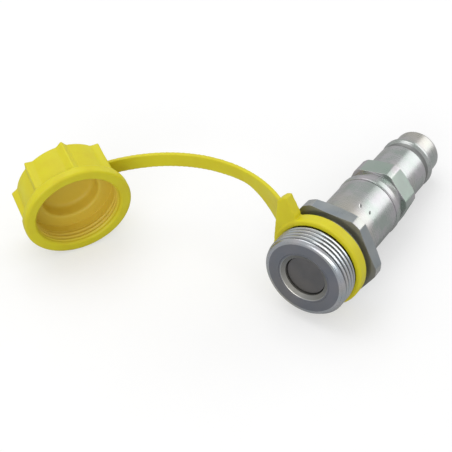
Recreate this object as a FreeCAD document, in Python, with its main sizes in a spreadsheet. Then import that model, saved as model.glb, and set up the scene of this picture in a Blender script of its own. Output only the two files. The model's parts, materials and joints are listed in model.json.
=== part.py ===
import FreeCAD, Part
import math
import os
import re

import Sketcher
from FreeCAD import Placement, Rotation, Vector

# Screw-on hydraulic tip adapter lying on a bench with its dust cap hanging off by the strap.
# Lengths are millimetres. The turned pieces share one frame: its origin is the middle of the
# front face, +Y runs along the axis to the nose and +Z is square to an upper flat of the hexagon.

SIZES = {
    # Front body, outside
    "thread_radius": 18.0,
    "thread_lead": 1.2,
    "thread_length": 9.6,
    "face_step": 1.3,
    "relief_step": 1.0,
    "relief_length": 8.8,
    "front_hex_flats": 40.0,
    "front_corner_stand": 2.0,
    "front_hex_length": 5.8,
    "hex_bevel": 0.7,
    "barrel_wall": 1.8,
    "barrel_length": 31.1,
    "lip_stand": 0.35,
    "lip_length": 3.4,
    "edge_break": 0.35,
    # Front body, inside
    "front_throat_radius": 8.6,
    "throat_length": 1.4,
    "front_pocket_step": 2.7,
    "front_bore_depth": 9.0,
    "front_seat_width": 2.3,
    "chamber_end": 30.0,
    "front_guide_step": 0.4,
    "socket_setback": 9.5,
    "socket_step": 0.9,
    # Rear body, outside
    "spigot_gap": 2.0,
    "flange_length": 1.7,
    "cone_length": 5.1,
    "cone_step": 0.6,
    "rear_hex_flats": 27.0,
    "rear_corner_stand": 1.35,
    "rear_hex_length": 7.4,
    "rear_hex_angle": 12.5,
    "tail_step": 1.5,
    "tail_length": 17.4,
    "ball_radius": 2.5,
    "ball_depth": 1.2,
    "ridge_step": 1.75,
    "ridge_back": 4.4,
    "ridge_width": 1.6,
    "nose_radius": 10.25,
    "nose_length": 9.0,
    "nose_round": 2.4,
    # Rear body, inside
    "nose_wall": 3.65,
    "tip_bore_depth": 4.4,
    "rear_seat_width": 2.0,
    "rear_chamber_length": 15.4,
    "rear_guide_step": 0.35,
    "seal_groove_setback": 1.5,
    "seal_groove_width": 3.5,
    "seal_groove_depth": 1.9,
    # Seat ring and bore seal
    "seat_recess": 0.4,
    "seat_ring_length": 5.0,
    "seat_ring_inset": 0.1,
    "seat_ring_lead": 0.9,
    "bore_seal_inset": 0.15,
    # Valves
    "seat_gap": 0.1,
    "front_nose_play": 0.45,
    "front_nose_setback": 0.9,
    "front_head_play": 0.8,
    "front_head_length": 3.0,
    "front_stem_radius": 2.5,
    "front_stem_stand": 1.0,
    "front_seal_reach": 0.6,
    "front_seal_wire": 0.8,
    "rear_nose_play": 0.3,
    "rear_nose_setback": 0.8,
    "rear_head_play": 0.6,
    "rear_head_length": 3.0,
    "rear_stem_radius": 2.2,
    "rear_stem_stand": 1.6,
    "rear_seal_reach": 0.5,
    "rear_seal_wire": 0.6,
    "seal_room": 0.02,
    # Springs, guides and clips
    "guide_length": 4.4,
    "clip_width": 1.1,
    "clip_depth": 0.65,
    "clip_inset": 0.7,
    "clip_gap_angle": 40.0,
    "fit_gap": 0.05,
    "running_gap": 0.08,
    "front_spring_play": 2.4,
    "front_spring_wire": 0.7,
    "front_spring_turns": 4.0,
    "front_port_radius": 1.8,
    "front_port_wall": 0.6,
    "rear_spring_play": 1.4,
    "rear_spring_wire": 0.6,
    "rear_spring_turns": 4.0,
    "rear_port_radius": 1.3,
    "rear_port_wall": 0.85,
    "port_count": 5,
    # Joint seal
    "joint_seal_wire": 0.9,
    "backup_width": 1.2,
    # Dust cap moulding: the band round the relief
    "band_setback": 0.7,
    "band_width": 5.2,
    "band_play": 0.8,
    "band_wall": 2.1,
    "band_lift": 0.3,
    "band_shift": 0.1,
    "band_round": 0.7,
    # Lug on the band, measured from a root on the band's outside
    "lug_angle": 40.0,
    "lug_thickness": 4.4,
    "lug_reach": 7.2,
    "lug_skirt": 12.0,
    "lug_shoulder": 6.75,
    "lug_peak": 11.15,
    "lug_peak_reach": 3.8,
    "lug_peak_width": 2.0,
    "lug_peak_fall": 1.0,
    "lug_foot": 2.75,
    "lug_foot_reach": 2.2,
    "lug_strap_seat": 2.75,
    # Strap, bent on edge
    "strap_thickness": 2.1,
    "strap_width": 6.6,
    "strap_round": 0.5,
    "strap_bend": 61.5,
    "strap_lap": 1.6,
    "strap_setback": 4.4,
    "strap_root_angle": 10.0,
    # Screw cap
    "cap_across": 97.1,
    "cap_ahead": 17.2,
    "cap_heading_angle": 57.1,
    "cap_rise_angle": 5.2,
    "cap_play": 0.3,
    "cap_mouth_lead": 0.7,
    "cap_wall": 2.6,
    "cap_draft": 0.6,
    "cap_end_wall": 3.6,
    "cap_round": 1.2,
    "cap_thread_depth": 10.5,
    "cap_recess_depth": 16.8,
    "cap_recess_step": 6.0,
    "cap_recess_round": 0.8,
    "rim_stand": 2.4,
    "rim_length": 4.0,
    "rim_round": 0.8,
    "rib_count": 8,
    "rib_height": 1.7,
    "rib_foot_width": 5.9,
    "rib_tip_width": 1.3,
    "rib_root": 1.0,
    "rib_angle": 3.0,
}

# Sizes that follow from others, so that what fits together stays together
FOLLOWING = {
    "face_radius": "thread_radius - face_step",
    "relief_radius": "thread_radius - relief_step",
    "front_hex_corner": "front_hex_flats / 2 + front_corner_stand",
    "front_bore_radius": "front_throat_radius + front_pocket_step",
    "chamber_radius": "front_throat_radius + front_seat_width",
    "front_guide_bore": "chamber_radius + front_guide_step",
    "socket_radius": "front_guide_bore + socket_step",
    "socket_start": "chamber_end + socket_setback",
    "barrel_radius": "socket_radius + barrel_wall",
    "lip_radius": "barrel_radius + lip_stand",
    "cone_end_radius": "rear_hex_flats / 2 - cone_step",
    "rear_hex_corner": "rear_hex_flats / 2 + rear_corner_stand",
    "tail_radius": "nose_radius + tail_step",
    "ridge_radius": "nose_radius + ridge_step",
    "tip_bore_radius": "nose_radius - nose_wall",
    "rear_chamber_radius": "tip_bore_radius + rear_seat_width",
    "rear_guide_bore": "rear_chamber_radius + rear_guide_step",
    "seal_groove_radius": "socket_radius - seal_groove_depth",
    "seat_ring_bore": "front_throat_radius - seat_ring_inset",
    "bore_seal_bore": "front_throat_radius - bore_seal_inset",
    "front_nose_radius": "front_throat_radius - front_nose_play",
    "front_head_radius": "chamber_radius - front_head_play",
    "front_seal_radius": "front_throat_radius + front_seal_reach",
    "front_spring_radius": "front_stem_radius + front_spring_play + front_spring_wire",
    "front_port_circle": "front_guide_bore - front_port_radius - front_port_wall",
    "rear_nose_radius": "tip_bore_radius - rear_nose_play",
    "rear_head_radius": "rear_chamber_radius - rear_head_play",
    "rear_seal_radius": "tip_bore_radius + rear_seal_reach",
    "rear_spring_radius": "rear_stem_radius + rear_spring_play + rear_spring_wire",
    "rear_port_circle": "rear_guide_bore - rear_port_radius - rear_port_wall",
    "band_bore": "relief_radius + band_play",
    "band_radius": "band_bore + band_wall",
    "cap_bore": "thread_radius + cap_play",
    "mouth_radius": "cap_bore + cap_mouth_lead",
    "wall_radius": "cap_bore + cap_wall",
    "end_radius": "wall_radius - cap_draft",
    "rim_radius": "wall_radius + rim_stand",
    "rib_radius": "wall_radius + rib_height",
    "cap_length": "cap_recess_depth + cap_end_wall",
    "cap_recess_radius": "cap_bore - cap_recess_step",
    "strap_depth": "cap_length - strap_setback",
}
NAMES = {**SIZES, **{alias: "=" + text for alias, text in FOLLOWING.items()}}

doc = FreeCAD.newDocument("tip_adapter")
sheet = doc.addObject("Spreadsheet::Sheet", "Sizes")
for row_number, alias in enumerate(NAMES, start=1):
    sheet.set(f"A{row_number}", alias)
    sheet.setAlias(f"B{row_number}", alias)
for row_number, content in enumerate(NAMES.values(), start=1):
    sheet.set(f"B{row_number}", str(content))
doc.recompute()


def sized(text):
    """Write an expression over the sheet's names as one that other objects can read."""
    return re.sub(r"[a-z_]+", lambda m: "Sizes." + m.group() if m.group() in NAMES else m.group(), text)


def value(text):
    """Number that an expression over the sheet's names has now."""
    return float(sheet.evalExpression(sized(text)))


# Stations along the axis, from the front face
HEX_START = "(thread_length + relief_length)"
HEX_END = f"({HEX_START} + front_hex_length)"
JOINT = f"({HEX_END} + barrel_length)"
CONE_START = f"({JOINT} + flange_length)"
REAR_HEX_START = f"({CONE_START} + cone_length)"
REAR_HEX_END = f"({REAR_HEX_START} + rear_hex_length)"
TAIL_END = f"({REAR_HEX_END} + tail_length)"
RIDGE_START = f"({TAIL_END} + ridge_back)"
RIDGE_END = f"({RIDGE_START} + ridge_width)"
NOSE_START = f"({RIDGE_END} + ridge_radius - nose_radius)"
NOSE_END = f"({NOSE_START} + nose_length)"

THROAT_END = "(front_bore_depth + throat_length)"
SEAT_END = f"({THROAT_END} + chamber_radius - front_throat_radius)"
FRONT_CONE_START = f"({THROAT_END} - front_throat_radius + front_nose_radius + sqrt(2) * seat_gap)"
FRONT_CONE_END = f"({FRONT_CONE_START} + front_head_radius - front_nose_radius)"
FRONT_HEAD_END = f"({FRONT_CONE_END} + front_head_length)"
FRONT_GUIDE_END = "(chamber_end + guide_length)"
FRONT_STEM_END = f"({FRONT_GUIDE_END} + front_stem_stand + sqrt(2) * seat_gap)"

SPIGOT_START = "(socket_start + spigot_gap)"
GROOVE_START = f"({SPIGOT_START} + seal_groove_setback)"
BALL_MIDDLE = f"({TAIL_END} + ridge_back / 2)"
TIP_SEAT = f"({NOSE_END} - tip_bore_depth)"
TIP_SEAT_END = f"({TIP_SEAT} - rear_chamber_radius + tip_bore_radius)"
REAR_CONE_START = f"({TIP_SEAT} + tip_bore_radius - rear_nose_radius - sqrt(2) * seat_gap)"
REAR_CONE_END = f"({REAR_CONE_START} - rear_head_radius + rear_nose_radius)"
REAR_HEAD_END = f"({REAR_CONE_END} - rear_head_length)"
REAR_GUIDE_START = f"({TIP_SEAT_END} - rear_chamber_length)"
REAR_GUIDE_END = f"({REAR_GUIDE_START} - guide_length)"
REAR_STEM_END = f"({REAR_GUIDE_END} - rear_stem_stand - sqrt(2) * seat_gap)"

# Attitude at rest: the adapter lies on a flat of the large hexagon and on the ridge of its tail
TILT = f"atan((front_hex_flats / 2 - ridge_radius) / ({RIDGE_END} - {HEX_END}))"
FACE_HEIGHT = f"({HEX_END} * sin({TILT}) + front_hex_flats / 2 * cos({TILT}))"

AXIS = Placement(Vector(0, 0, value(FACE_HEIGHT)), Rotation(Vector(1, 0, 0), -value(TILT)))

# The cap's band runs loose on the relief
BAND_START = "(thread_length + band_setback)"
BAND_STOP = f"({BAND_START} + band_width)"
LUG_BACK = f"({BAND_START} + (band_width + lug_thickness) / 2)"

# Places that a sketch constraint can hold on an edge
START, STOP, CENTRE = 1, 2, 3
MATCH = 0.01


def datum(body, role):
    """One of the origin planes or axes of a body."""
    return next(item for item in body.Origin.OriginFeatures if item.Role == role)


def new_body(label, placement=AXIS):
    """An empty body named for its piece, lying where the piece lies."""
    body = doc.addObject("PartDesign::Body", label)
    body.Label = label
    body.Placement = placement
    return body


def new_sketch(body, name, placement=None):
    """A sketch on the body's XY plane, or moved from it by a placement."""
    sketch = body.newObject("Sketcher::SketchObject", name)
    sketch.AttachmentSupport = (datum(body, "XY_Plane"), "")
    sketch.MapMode = "FlatFace"
    if placement is not None:
        sketch.AttachmentOffset = placement
    return sketch


def pin_point(sketch, edge, end, across, along):
    """Hold one end of a sketch edge at a place given by two expressions."""
    pin_length(sketch, "DistanceX", edge, end, across)
    pin_length(sketch, "DistanceY", edge, end, along)


def pin_length(sketch, kind, edge, end, text):
    """Hold one coordinate of a place on a sketch edge at an expression."""
    number = sketch.addConstraint(Sketcher.Constraint(kind, -1, START, edge, end, value(text)))
    sketch.setExpression(f"Constraints[{number}]", sized(text))


def spot(place):
    """Point of the sketch at an (across, along) pair of expressions."""
    return Vector(value(place[0]), value(place[1]), 0)


def toward(here, other):
    """Unit step from one corner towards another, along the sketch axis that is nearer."""
    away = other - here
    if abs(away.x) > abs(away.y):
        return Vector(math.copysign(1, away.x), 0, 0)
    return Vector(0, math.copysign(1, away.y), 0)


def corner_places(before, corner, after):
    """Places that make a corner: itself, or the start, centre and stop of its rounding."""
    if len(corner) == 2:
        return [corner]
    across, along, rounding = corner
    back = toward(spot(corner), spot(before))
    ahead = toward(spot(corner), spot(after))
    return [(f"{across} + {round(step.x)} * {rounding}", f"{along} + {round(step.y)} * {rounding}")
            for step in (back, back + ahead, ahead)]


def join_with_arc(sketch, before, after, places):
    """Join two edges by the arc that rounds the corner between them."""
    start, centre, stop = (spot(place) for place in places)
    from_centre, to_stop = start - centre, stop - centre
    turns_left = from_centre.cross(to_stop).z > 0
    ends = (from_centre, to_stop) if turns_left else (to_stop, from_centre)
    circle = Part.Circle(centre, Vector(0, 0, 1), from_centre.Length)
    arc = sketch.addGeometry(Part.ArcOfCircle(circle, *(math.atan2(end.y, end.x) for end in ends)))
    opening, closing = (START, STOP) if turns_left else (STOP, START)
    sketch.addConstraint(Sketcher.Constraint("Coincident", before, STOP, arc, opening))
    sketch.addConstraint(Sketcher.Constraint("Coincident", arc, closing, after, START))
    pin_point(sketch, arc, CENTRE, *places[1])
    if abs(from_centre.x) > abs(from_centre.y):
        pin_length(sketch, "DistanceY", arc, opening, places[0][1])
    else:
        pin_length(sketch, "DistanceX", arc, opening, places[0][0])


def draw_outline(sketch, corners):
    """Closed outline through (across, along) corners; a third expression rounds a corner."""
    wheel = list(zip(corners[-1:] + corners[:-1], corners, corners[1:] + corners[:1]))
    joints = [corner_places(*trio) for trio in wheel]
    edges = []
    for joint, after in zip(joints, joints[1:] + joints[:1]):
        edges.append(sketch.addGeometry(Part.LineSegment(spot(joint[-1]), spot(after[0]))))
        pin_point(sketch, edges[-1], START, *joint[-1])
    for before, edge, joint in zip(edges[-1:] + edges[:-1], edges, joints):
        if len(joint) == 1:
            sketch.addConstraint(Sketcher.Constraint("Coincident", before, STOP, edge, START))
        else:
            join_with_arc(sketch, before, edge, joint)


def draw_circle(sketch, radius, across="0", along="0"):
    """Full circle with its radius and centre given by expressions."""
    centre = spot((across, along))
    edge = sketch.addGeometry(Part.Circle(centre, Vector(0, 0, 1), value(radius)))
    number = sketch.addConstraint(Sketcher.Constraint("Radius", edge, value(radius)))
    sketch.setExpression(f"Constraints[{number}]", sized(radius))
    pin_point(sketch, edge, CENTRE, across, along)


def revolve(body, name, sketch, kind="PartDesign::Revolution", sweep="360"):
    """Turn a sketch about its own vertical axis."""
    feature = body.newObject(kind, name)
    feature.Profile = sketch
    feature.ReferenceAxis = (sketch, ["V_Axis"])
    feature.setExpression("Angle", sized(sweep))
    sketch.Visibility = False
    doc.recompute()
    return feature


def turned(body, name, points, placement=None, sweep="360"):
    """Solid of revolution from (radius, station) expressions."""
    sketch = new_sketch(body, name + "Outline", placement)
    draw_outline(sketch, points)
    return revolve(body, name, sketch, sweep=sweep)


def rounded(body, name, feature, radius, wanted):
    """Fillet the edges of a feature that a test picks out."""
    edges = [f"Edge{i}" for i, edge in enumerate(feature.Shape.Edges, start=1) if wanted(edge)]
    fillet = body.newObject("PartDesign::Fillet", name)
    fillet.Base = (feature, edges)
    fillet.setExpression("Radius", sized(radius))
    doc.recompute()
    return fillet


def is_ring(edge, station, radius):
    """True for a full circle round the Y axis at this station and radius."""
    curve = edge.Curve
    if not isinstance(curve, Part.Circle) or not edge.isClosed():
        return False
    return abs(curve.Center.y - value(station)) < MATCH and abs(curve.Radius - value(radius)) < MATCH


def across_axis(station, turn=0.0):
    """Placement of a sketch plane square to the axis, its X to the right and its Y upward."""
    upright = Rotation(Vector(1, 0, 0), 90)
    return Placement(Vector(0, value(station), 0), Rotation(Vector(0, 1, 0), turn) * upright)


def cut_hexagon(body, name, station, length, flats, turn="0"):
    """Mill six flats over a length of a turned body."""
    round_volume = body.Tip.Shape.Volume
    sketch = new_sketch(body, name + "Outline", across_axis(station))
    sketch.setExpression("AttachmentOffset.Base.y", sized(station))
    angles = [f"({60 * side} + {turn})" for side in range(6)]
    draw_outline(sketch, [(f"{flats} / sqrt(3) * cos({angle})", f"{flats} / sqrt(3) * sin({angle})")
                          for angle in angles])
    draw_circle(sketch, flats)
    pocket = body.newObject("PartDesign::Pocket", name)
    pocket.Profile = sketch
    pocket.Type = "Length"
    pocket.setExpression("Length", sized(length))
    sketch.Visibility = False
    doc.recompute()
    assert pocket.Shape.Volume < round_volume, name
    return pocket


def make_front_body():
    """Front body: male thread, relief for the cap's band, hexagon, barrel and stepped bore."""
    body = new_body("front_body")
    points = [
        ("front_bore_radius + edge_break", "0"),
        ("face_radius", "0"),
        ("thread_radius", "thread_lead"),
        ("thread_radius", "thread_length - thread_lead / 2"),
        ("relief_radius", "thread_length + thread_lead / 3"),
        ("relief_radius", HEX_START),
        ("front_hex_flats / 2 - hex_bevel / 2", HEX_START),
        ("front_hex_corner", f"{HEX_START} + hex_bevel"),
        ("front_hex_corner", f"{HEX_END} - hex_bevel"),
        ("front_hex_flats / 2 - hex_bevel / 2", HEX_END),
        ("barrel_radius", HEX_END),
        ("barrel_radius", f"{JOINT} - lip_length - edge_break"),
        ("lip_radius", f"{JOINT} - lip_length + edge_break"),
        ("lip_radius", f"{JOINT} - edge_break"),
        ("lip_radius - edge_break", JOINT),
        ("socket_radius + edge_break", JOINT),
        ("socket_radius", f"{JOINT} - edge_break"),
        ("socket_radius", "socket_start"),
        ("front_guide_bore", "socket_start"),
        ("front_guide_bore", f"{FRONT_GUIDE_END} + clip_width + 2 * fit_gap"),
        ("front_guide_bore + clip_depth", f"{FRONT_GUIDE_END} + clip_width + 2 * fit_gap"),
        ("front_guide_bore + clip_depth", FRONT_GUIDE_END),
        ("front_guide_bore", FRONT_GUIDE_END),
        ("front_guide_bore", "chamber_end"),
        ("chamber_radius", "chamber_end"),
        ("chamber_radius", SEAT_END),
        ("front_throat_radius", THROAT_END),
        ("front_throat_radius", "front_bore_depth"),
        ("front_bore_radius", "front_bore_depth"),
        ("front_bore_radius", "edge_break"),
    ]
    turned(body, "FrontTurning", points)
    cut_hexagon(body, "FrontFlats", HEX_START, "front_hex_length", "front_hex_flats")
    return body


def make_rear_body():
    """Rear body: screwed spigot, flange and cone, hexagon, tail, ball groove and nose."""
    body = new_body("rear_body")
    spigot_radius = "(socket_radius - fit_gap)"
    points = [
        ("rear_guide_bore", f"{SPIGOT_START}"),
        (f"{spigot_radius} - edge_break", SPIGOT_START),
        (spigot_radius, f"{SPIGOT_START} + edge_break"),
        (spigot_radius, GROOVE_START),
        ("seal_groove_radius", GROOVE_START),
        ("seal_groove_radius", f"{GROOVE_START} + seal_groove_width"),
        (spigot_radius, f"{GROOVE_START} + seal_groove_width"),
        (spigot_radius, f"{JOINT}"),
        ("lip_radius - edge_break", JOINT),
        ("lip_radius", f"{JOINT} + edge_break"),
        ("lip_radius", CONE_START),
        ("cone_end_radius", REAR_HEX_START),
        ("rear_hex_flats / 2 - hex_bevel / 3", REAR_HEX_START),
        ("rear_hex_corner", f"{REAR_HEX_START} + hex_bevel / 2"),
        ("rear_hex_corner", f"{REAR_HEX_END} - hex_bevel"),
        ("rear_hex_flats / 2 - hex_bevel / 2", REAR_HEX_END),
        ("tail_radius", REAR_HEX_END),
        ("tail_radius", BALL_MIDDLE),
        ("ridge_radius", BALL_MIDDLE),
        ("ridge_radius", RIDGE_END),
        ("nose_radius", NOSE_START),
        ("nose_radius", NOSE_END),
        ("tip_bore_radius + edge_break", NOSE_END),
        ("tip_bore_radius", f"{NOSE_END} - edge_break"),
        ("tip_bore_radius", TIP_SEAT),
        ("rear_chamber_radius", TIP_SEAT_END),
        ("rear_chamber_radius", REAR_GUIDE_START),
        ("rear_guide_bore", REAR_GUIDE_START),
        ("rear_guide_bore", REAR_GUIDE_END),
        ("rear_guide_bore + clip_depth", REAR_GUIDE_END),
        ("rear_guide_bore + clip_depth", f"{REAR_GUIDE_END} - clip_width - 2 * fit_gap"),
        ("rear_guide_bore", f"{REAR_GUIDE_END} - clip_width - 2 * fit_gap"),
    ]
    turned(body, "RearTurning", points)
    cut_hexagon(body, "RearFlats", REAR_HEX_START, "rear_hex_length", "rear_hex_flats", "rear_hex_angle")
    sketch = new_sketch(body, "BallGrooveSection")
    draw_circle(sketch, "ball_radius", "tail_radius - ball_depth + ball_radius", BALL_MIDDLE)
    groove = revolve(body, "BallGroove", sketch, kind="PartDesign::Groove")
    rounded(body, "NoseRound", groove, "nose_round", lambda edge: is_ring(edge, NOSE_END, "nose_radius"))
    return body


def make_plain_ring(label, inner, outer, start, stop, lead="0"):
    """Turned ring of square section, with a lead-in at the front of its bore where one is given."""
    body = new_body(label)
    points = [(f"{inner} + {lead}", start), (outer, start), (outer, stop), (inner, stop)]
    if lead != "0":
        points.append((inner, f"{start} + {lead}"))
    turned(body, "Ring", points)
    return body


def make_round_seal(label, wire, radius, station):
    """Moulded seal of round section."""
    body = new_body(label)
    sketch = new_sketch(body, "SealSection")
    draw_circle(sketch, wire, radius, station)
    revolve(body, "Seal", sketch)
    return body


def make_clip(label, bore, start, stop):
    """Internal snap ring with its gap at the top."""
    body = new_body(label)
    outer = f"{bore} + clip_depth - fit_gap"
    inner = f"{bore} - clip_inset"
    points = [(inner, start), (outer, start), (outer, stop), (inner, stop)]
    turned(body, "SnapRing", points, sweep="360 - clip_gap_angle")
    return body


def make_poppet(label, points, seal_wire, seal_radius, seal_station):
    """Valve poppet with its cone, guide stem and a groove for its seal."""
    body = new_body(label)
    turned(body, "Poppet", points)
    sketch = new_sketch(body, "SealGrooveSection")
    draw_circle(sketch, f"{seal_wire} + seal_room", seal_radius, seal_station)
    revolve(body, "SealGroove", sketch, kind="PartDesign::Groove")
    return body


def make_guide(label, outer, stem, start, port_radius, port_circle):
    """Drilled guide disc: a bore for the stem and a ring of flow ports."""
    body = new_body(label)
    stop = f"({start} + guide_length - 2 * fit_gap)"
    points = [(f"{stem} + running_gap", start), (outer, start), (outer, stop), (f"{stem} + running_gap", stop)]
    turned(body, "Disc", points)
    sketch = new_sketch(body, "PortOutline", across_axis(start))
    draw_circle(sketch, port_radius, "0", port_circle)
    pocket = body.newObject("PartDesign::Pocket", "Port")
    pocket.Profile = sketch
    pocket.Type = "Length"
    pocket.setExpression("Length", sized("guide_length"))
    doc.recompute()
    pattern = body.newObject("PartDesign::PolarPattern", "Ports")
    pattern.Originals = [pocket]
    pattern.Axis = (datum(body, "Y_Axis"), [""])
    pattern.Angle = 360
    pattern.setExpression("Occurrences", sized("port_count"))
    body.Tip = pattern
    doc.recompute()
    return body


def make_spring(label, start, stop, radius, wire, turns):
    """Round-wire compression spring between two seats."""
    helix = doc.addObject("Part::Helix", label + "_line")
    helix.setExpression("Radius", sized(radius))
    helix.setExpression("Height", sized(f"{stop} - {start} - 2 * {wire} - 2 * fit_gap"))
    helix.SegmentLength = 0.5
    helix.setExpression("Pitch", sized(f"({stop} - {start} - 2 * {wire} - 2 * fit_gap) / {turns}"))
    section = doc.addObject("Part::Circle", label + "_wire")
    section.setExpression("Radius", sized(wire))
    section.Placement = Placement(Vector(value(radius), 0, 0), Rotation(Vector(1, 0, 0), 90))
    section.setExpression("Placement.Base.x", sized(radius))
    doc.recompute()
    spring = doc.addObject("Part::Sweep", label)
    spring.Sections = [section]
    spring.Spine = (helix, [])
    spring.Solid = True
    spring.Frenet = True
    spring.Label = label
    upright = Placement(Vector(0, value(f"{start} + {wire} + fit_gap"), 0), Rotation(Vector(1, 0, 0), -90))
    spring.Placement = AXIS.multiply(upright)
    doc.recompute()
    return spring


def make_front_valve():
    """Seat ring, bore seal, poppet with its seal, spring, guide and clip of the front end."""
    seat_end = "(seat_recess + seat_ring_length)"
    seal_station = (f"({THROAT_END} + front_seal_radius - front_throat_radius"
                    " + sqrt(2) * (front_seal_wire + seat_gap / 2))")
    poppet = [
        ("0", "front_nose_setback"),
        ("front_nose_radius - edge_break", "front_nose_setback"),
        ("front_nose_radius", "front_nose_setback + edge_break"),
        ("front_nose_radius", FRONT_CONE_START),
        ("front_head_radius", FRONT_CONE_END),
        ("front_head_radius", FRONT_HEAD_END),
        ("front_stem_radius", FRONT_HEAD_END),
        ("front_stem_radius", f"{FRONT_STEM_END} - edge_break"),
        ("front_stem_radius - edge_break", FRONT_STEM_END),
        ("0", FRONT_STEM_END),
    ]
    clip_start = f"({FRONT_GUIDE_END} + fit_gap)"
    return [
        make_plain_ring("front_seat_ring", "seat_ring_bore", "front_bore_radius - fit_gap", "seat_recess",
                        seat_end, "seat_ring_lead"),
        make_plain_ring("front_bore_seal", "bore_seal_bore", "front_bore_radius - fit_gap",
                        f"{seat_end} + fit_gap", "front_bore_depth - fit_gap"),
        make_poppet("front_poppet", poppet, "front_seal_wire", "front_seal_radius", seal_station),
        make_round_seal("front_poppet_seal", "front_seal_wire", "front_seal_radius", seal_station),
        make_spring("front_spring", FRONT_HEAD_END, "chamber_end", "front_spring_radius",
                    "front_spring_wire", "front_spring_turns"),
        make_guide("front_valve_guide", "front_guide_bore - fit_gap", "front_stem_radius",
                   "(chamber_end + fit_gap)", "front_port_radius", "front_port_circle"),
        make_clip("front_guide_clip", "front_guide_bore", clip_start, f"{clip_start} + clip_width"),
    ]


def make_rear_valve():
    """Poppet with its seal, spring, guide and clip of the tail."""
    seal_station = (f"({TIP_SEAT} - rear_seal_radius + tip_bore_radius"
                    " - sqrt(2) * (rear_seal_wire + seat_gap / 2))")
    tip = f"({NOSE_END} - rear_nose_setback)"
    poppet = [
        ("0", tip),
        ("rear_nose_radius - edge_break", tip),
        ("rear_nose_radius", f"{tip} - edge_break"),
        ("rear_nose_radius", REAR_CONE_START),
        ("rear_head_radius", REAR_CONE_END),
        ("rear_head_radius", REAR_HEAD_END),
        ("rear_stem_radius", REAR_HEAD_END),
        ("rear_stem_radius", f"{REAR_STEM_END} + edge_break"),
        ("rear_stem_radius - edge_break", REAR_STEM_END),
        ("0", REAR_STEM_END),
    ]
    clip_stop = f"({REAR_GUIDE_END} - fit_gap)"
    return [
        make_poppet("rear_poppet", poppet, "rear_seal_wire", "rear_seal_radius", seal_station),
        make_round_seal("rear_poppet_seal", "rear_seal_wire", "rear_seal_radius", seal_station),
        make_spring("rear_spring", REAR_GUIDE_START, REAR_HEAD_END, "rear_spring_radius",
                    "rear_spring_wire", "rear_spring_turns"),
        make_guide("rear_valve_guide", "rear_guide_bore - fit_gap", "rear_stem_radius",
                   f"({REAR_GUIDE_END} + fit_gap)", "rear_port_radius", "rear_port_circle"),
        make_clip("rear_guide_clip", "rear_guide_bore", f"{clip_stop} - clip_width", clip_stop),
    ]


def make_joint_seals():
    """Round seal and flat backup ring in the groove of the spigot."""
    seal_centre = "socket_radius - joint_seal_wire - fit_gap / 2"
    backup_start = f"({GROOVE_START} + 2 * joint_seal_wire + 3 * fit_gap)"
    return [
        make_round_seal("joint_seal", "joint_seal_wire", seal_centre,
                        f"{GROOVE_START} + joint_seal_wire + fit_gap"),
        make_plain_ring("joint_backup_ring", "seal_groove_radius + fit_gap", "socket_radius - fit_gap",
                        backup_start, f"{backup_start} + backup_width"),
    ]


def strap_frame(start, stop):
    """Placement of the strap's bend: origin at its centre, X towards the start, Y across the band."""
    chord = stop - start
    along = Vector(chord).normalize()
    outward = Vector(0, 0, 1).cross(along).normalize()
    bend = value("strap_bend")
    drop = math.sqrt(bend ** 2 - (chord.Length / 2) ** 2)
    centre = start + chord * 0.5 - outward * drop
    to_start = (start - centre).normalize()
    band = to_start.cross(stop - centre).normalize()
    sweep = math.degrees((start - centre).getAngle(stop - centre))
    side = to_start.cross(band)
    return Placement(centre, Rotation(to_start, band, side, "XYZ")), sweep


def make_band(body, frame):
    """Band round the relief, with the lug that the strap grows from."""
    turned(body, "Band", [("band_bore", BAND_START), ("band_radius", BAND_START, "band_round"),
                          ("band_radius", BAND_STOP, "band_round"), ("band_bore", BAND_STOP)], frame)
    left = "-band_radius * sin(lug_angle)"
    up = "band_radius * cos(lug_angle)"
    sketch = new_sketch(body, "LugOutline", frame.multiply(across_axis(LUG_BACK)))
    draw_outline(sketch, [
        (f"{left} - lug_reach", f"{up} - lug_skirt"),
        (f"{left} + lug_foot_reach", f"{up} - lug_skirt"),
        (f"{left} + lug_foot_reach", f"{up} + lug_foot"),
        (f"{left} - lug_peak_reach + lug_peak_width / 3", f"{up} + lug_peak"),
        (f"{left} - lug_peak_reach - lug_peak_width * 2 / 3", f"{up} + lug_peak - lug_peak_fall"),
        (f"{left} - lug_reach", f"{up} + lug_shoulder"),
    ])
    lug = body.newObject("PartDesign::Pad", "Lug")
    lug.Profile = sketch
    lug.setExpression("Length", sized("lug_thickness"))
    doc.recompute()
    bore = new_sketch(body, "BandBoreOutline", frame)
    front, back = f"{BAND_START} - band_width", f"{BAND_STOP} + band_width"
    draw_outline(bore, [("0", front), ("band_bore", front), ("band_bore", back), ("0", back)])
    revolve(body, "BandBore", bore, kind="PartDesign::Groove")


def make_strap(body, start, stop):
    """Strap bent on edge between two points of the moulding."""
    bend_frame, sweep = strap_frame(start, stop)
    inside, outside = "strap_bend - strap_thickness / 2", "strap_bend + strap_thickness / 2"
    turned(body, "Strap", [
        (inside, "-strap_width / 2", "strap_round"),
        (outside, "-strap_width / 2", "strap_round"),
        (outside, "strap_width / 2", "strap_round"),
        (inside, "strap_width / 2", "strap_round"),
    ], bend_frame, str(sweep))


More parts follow.
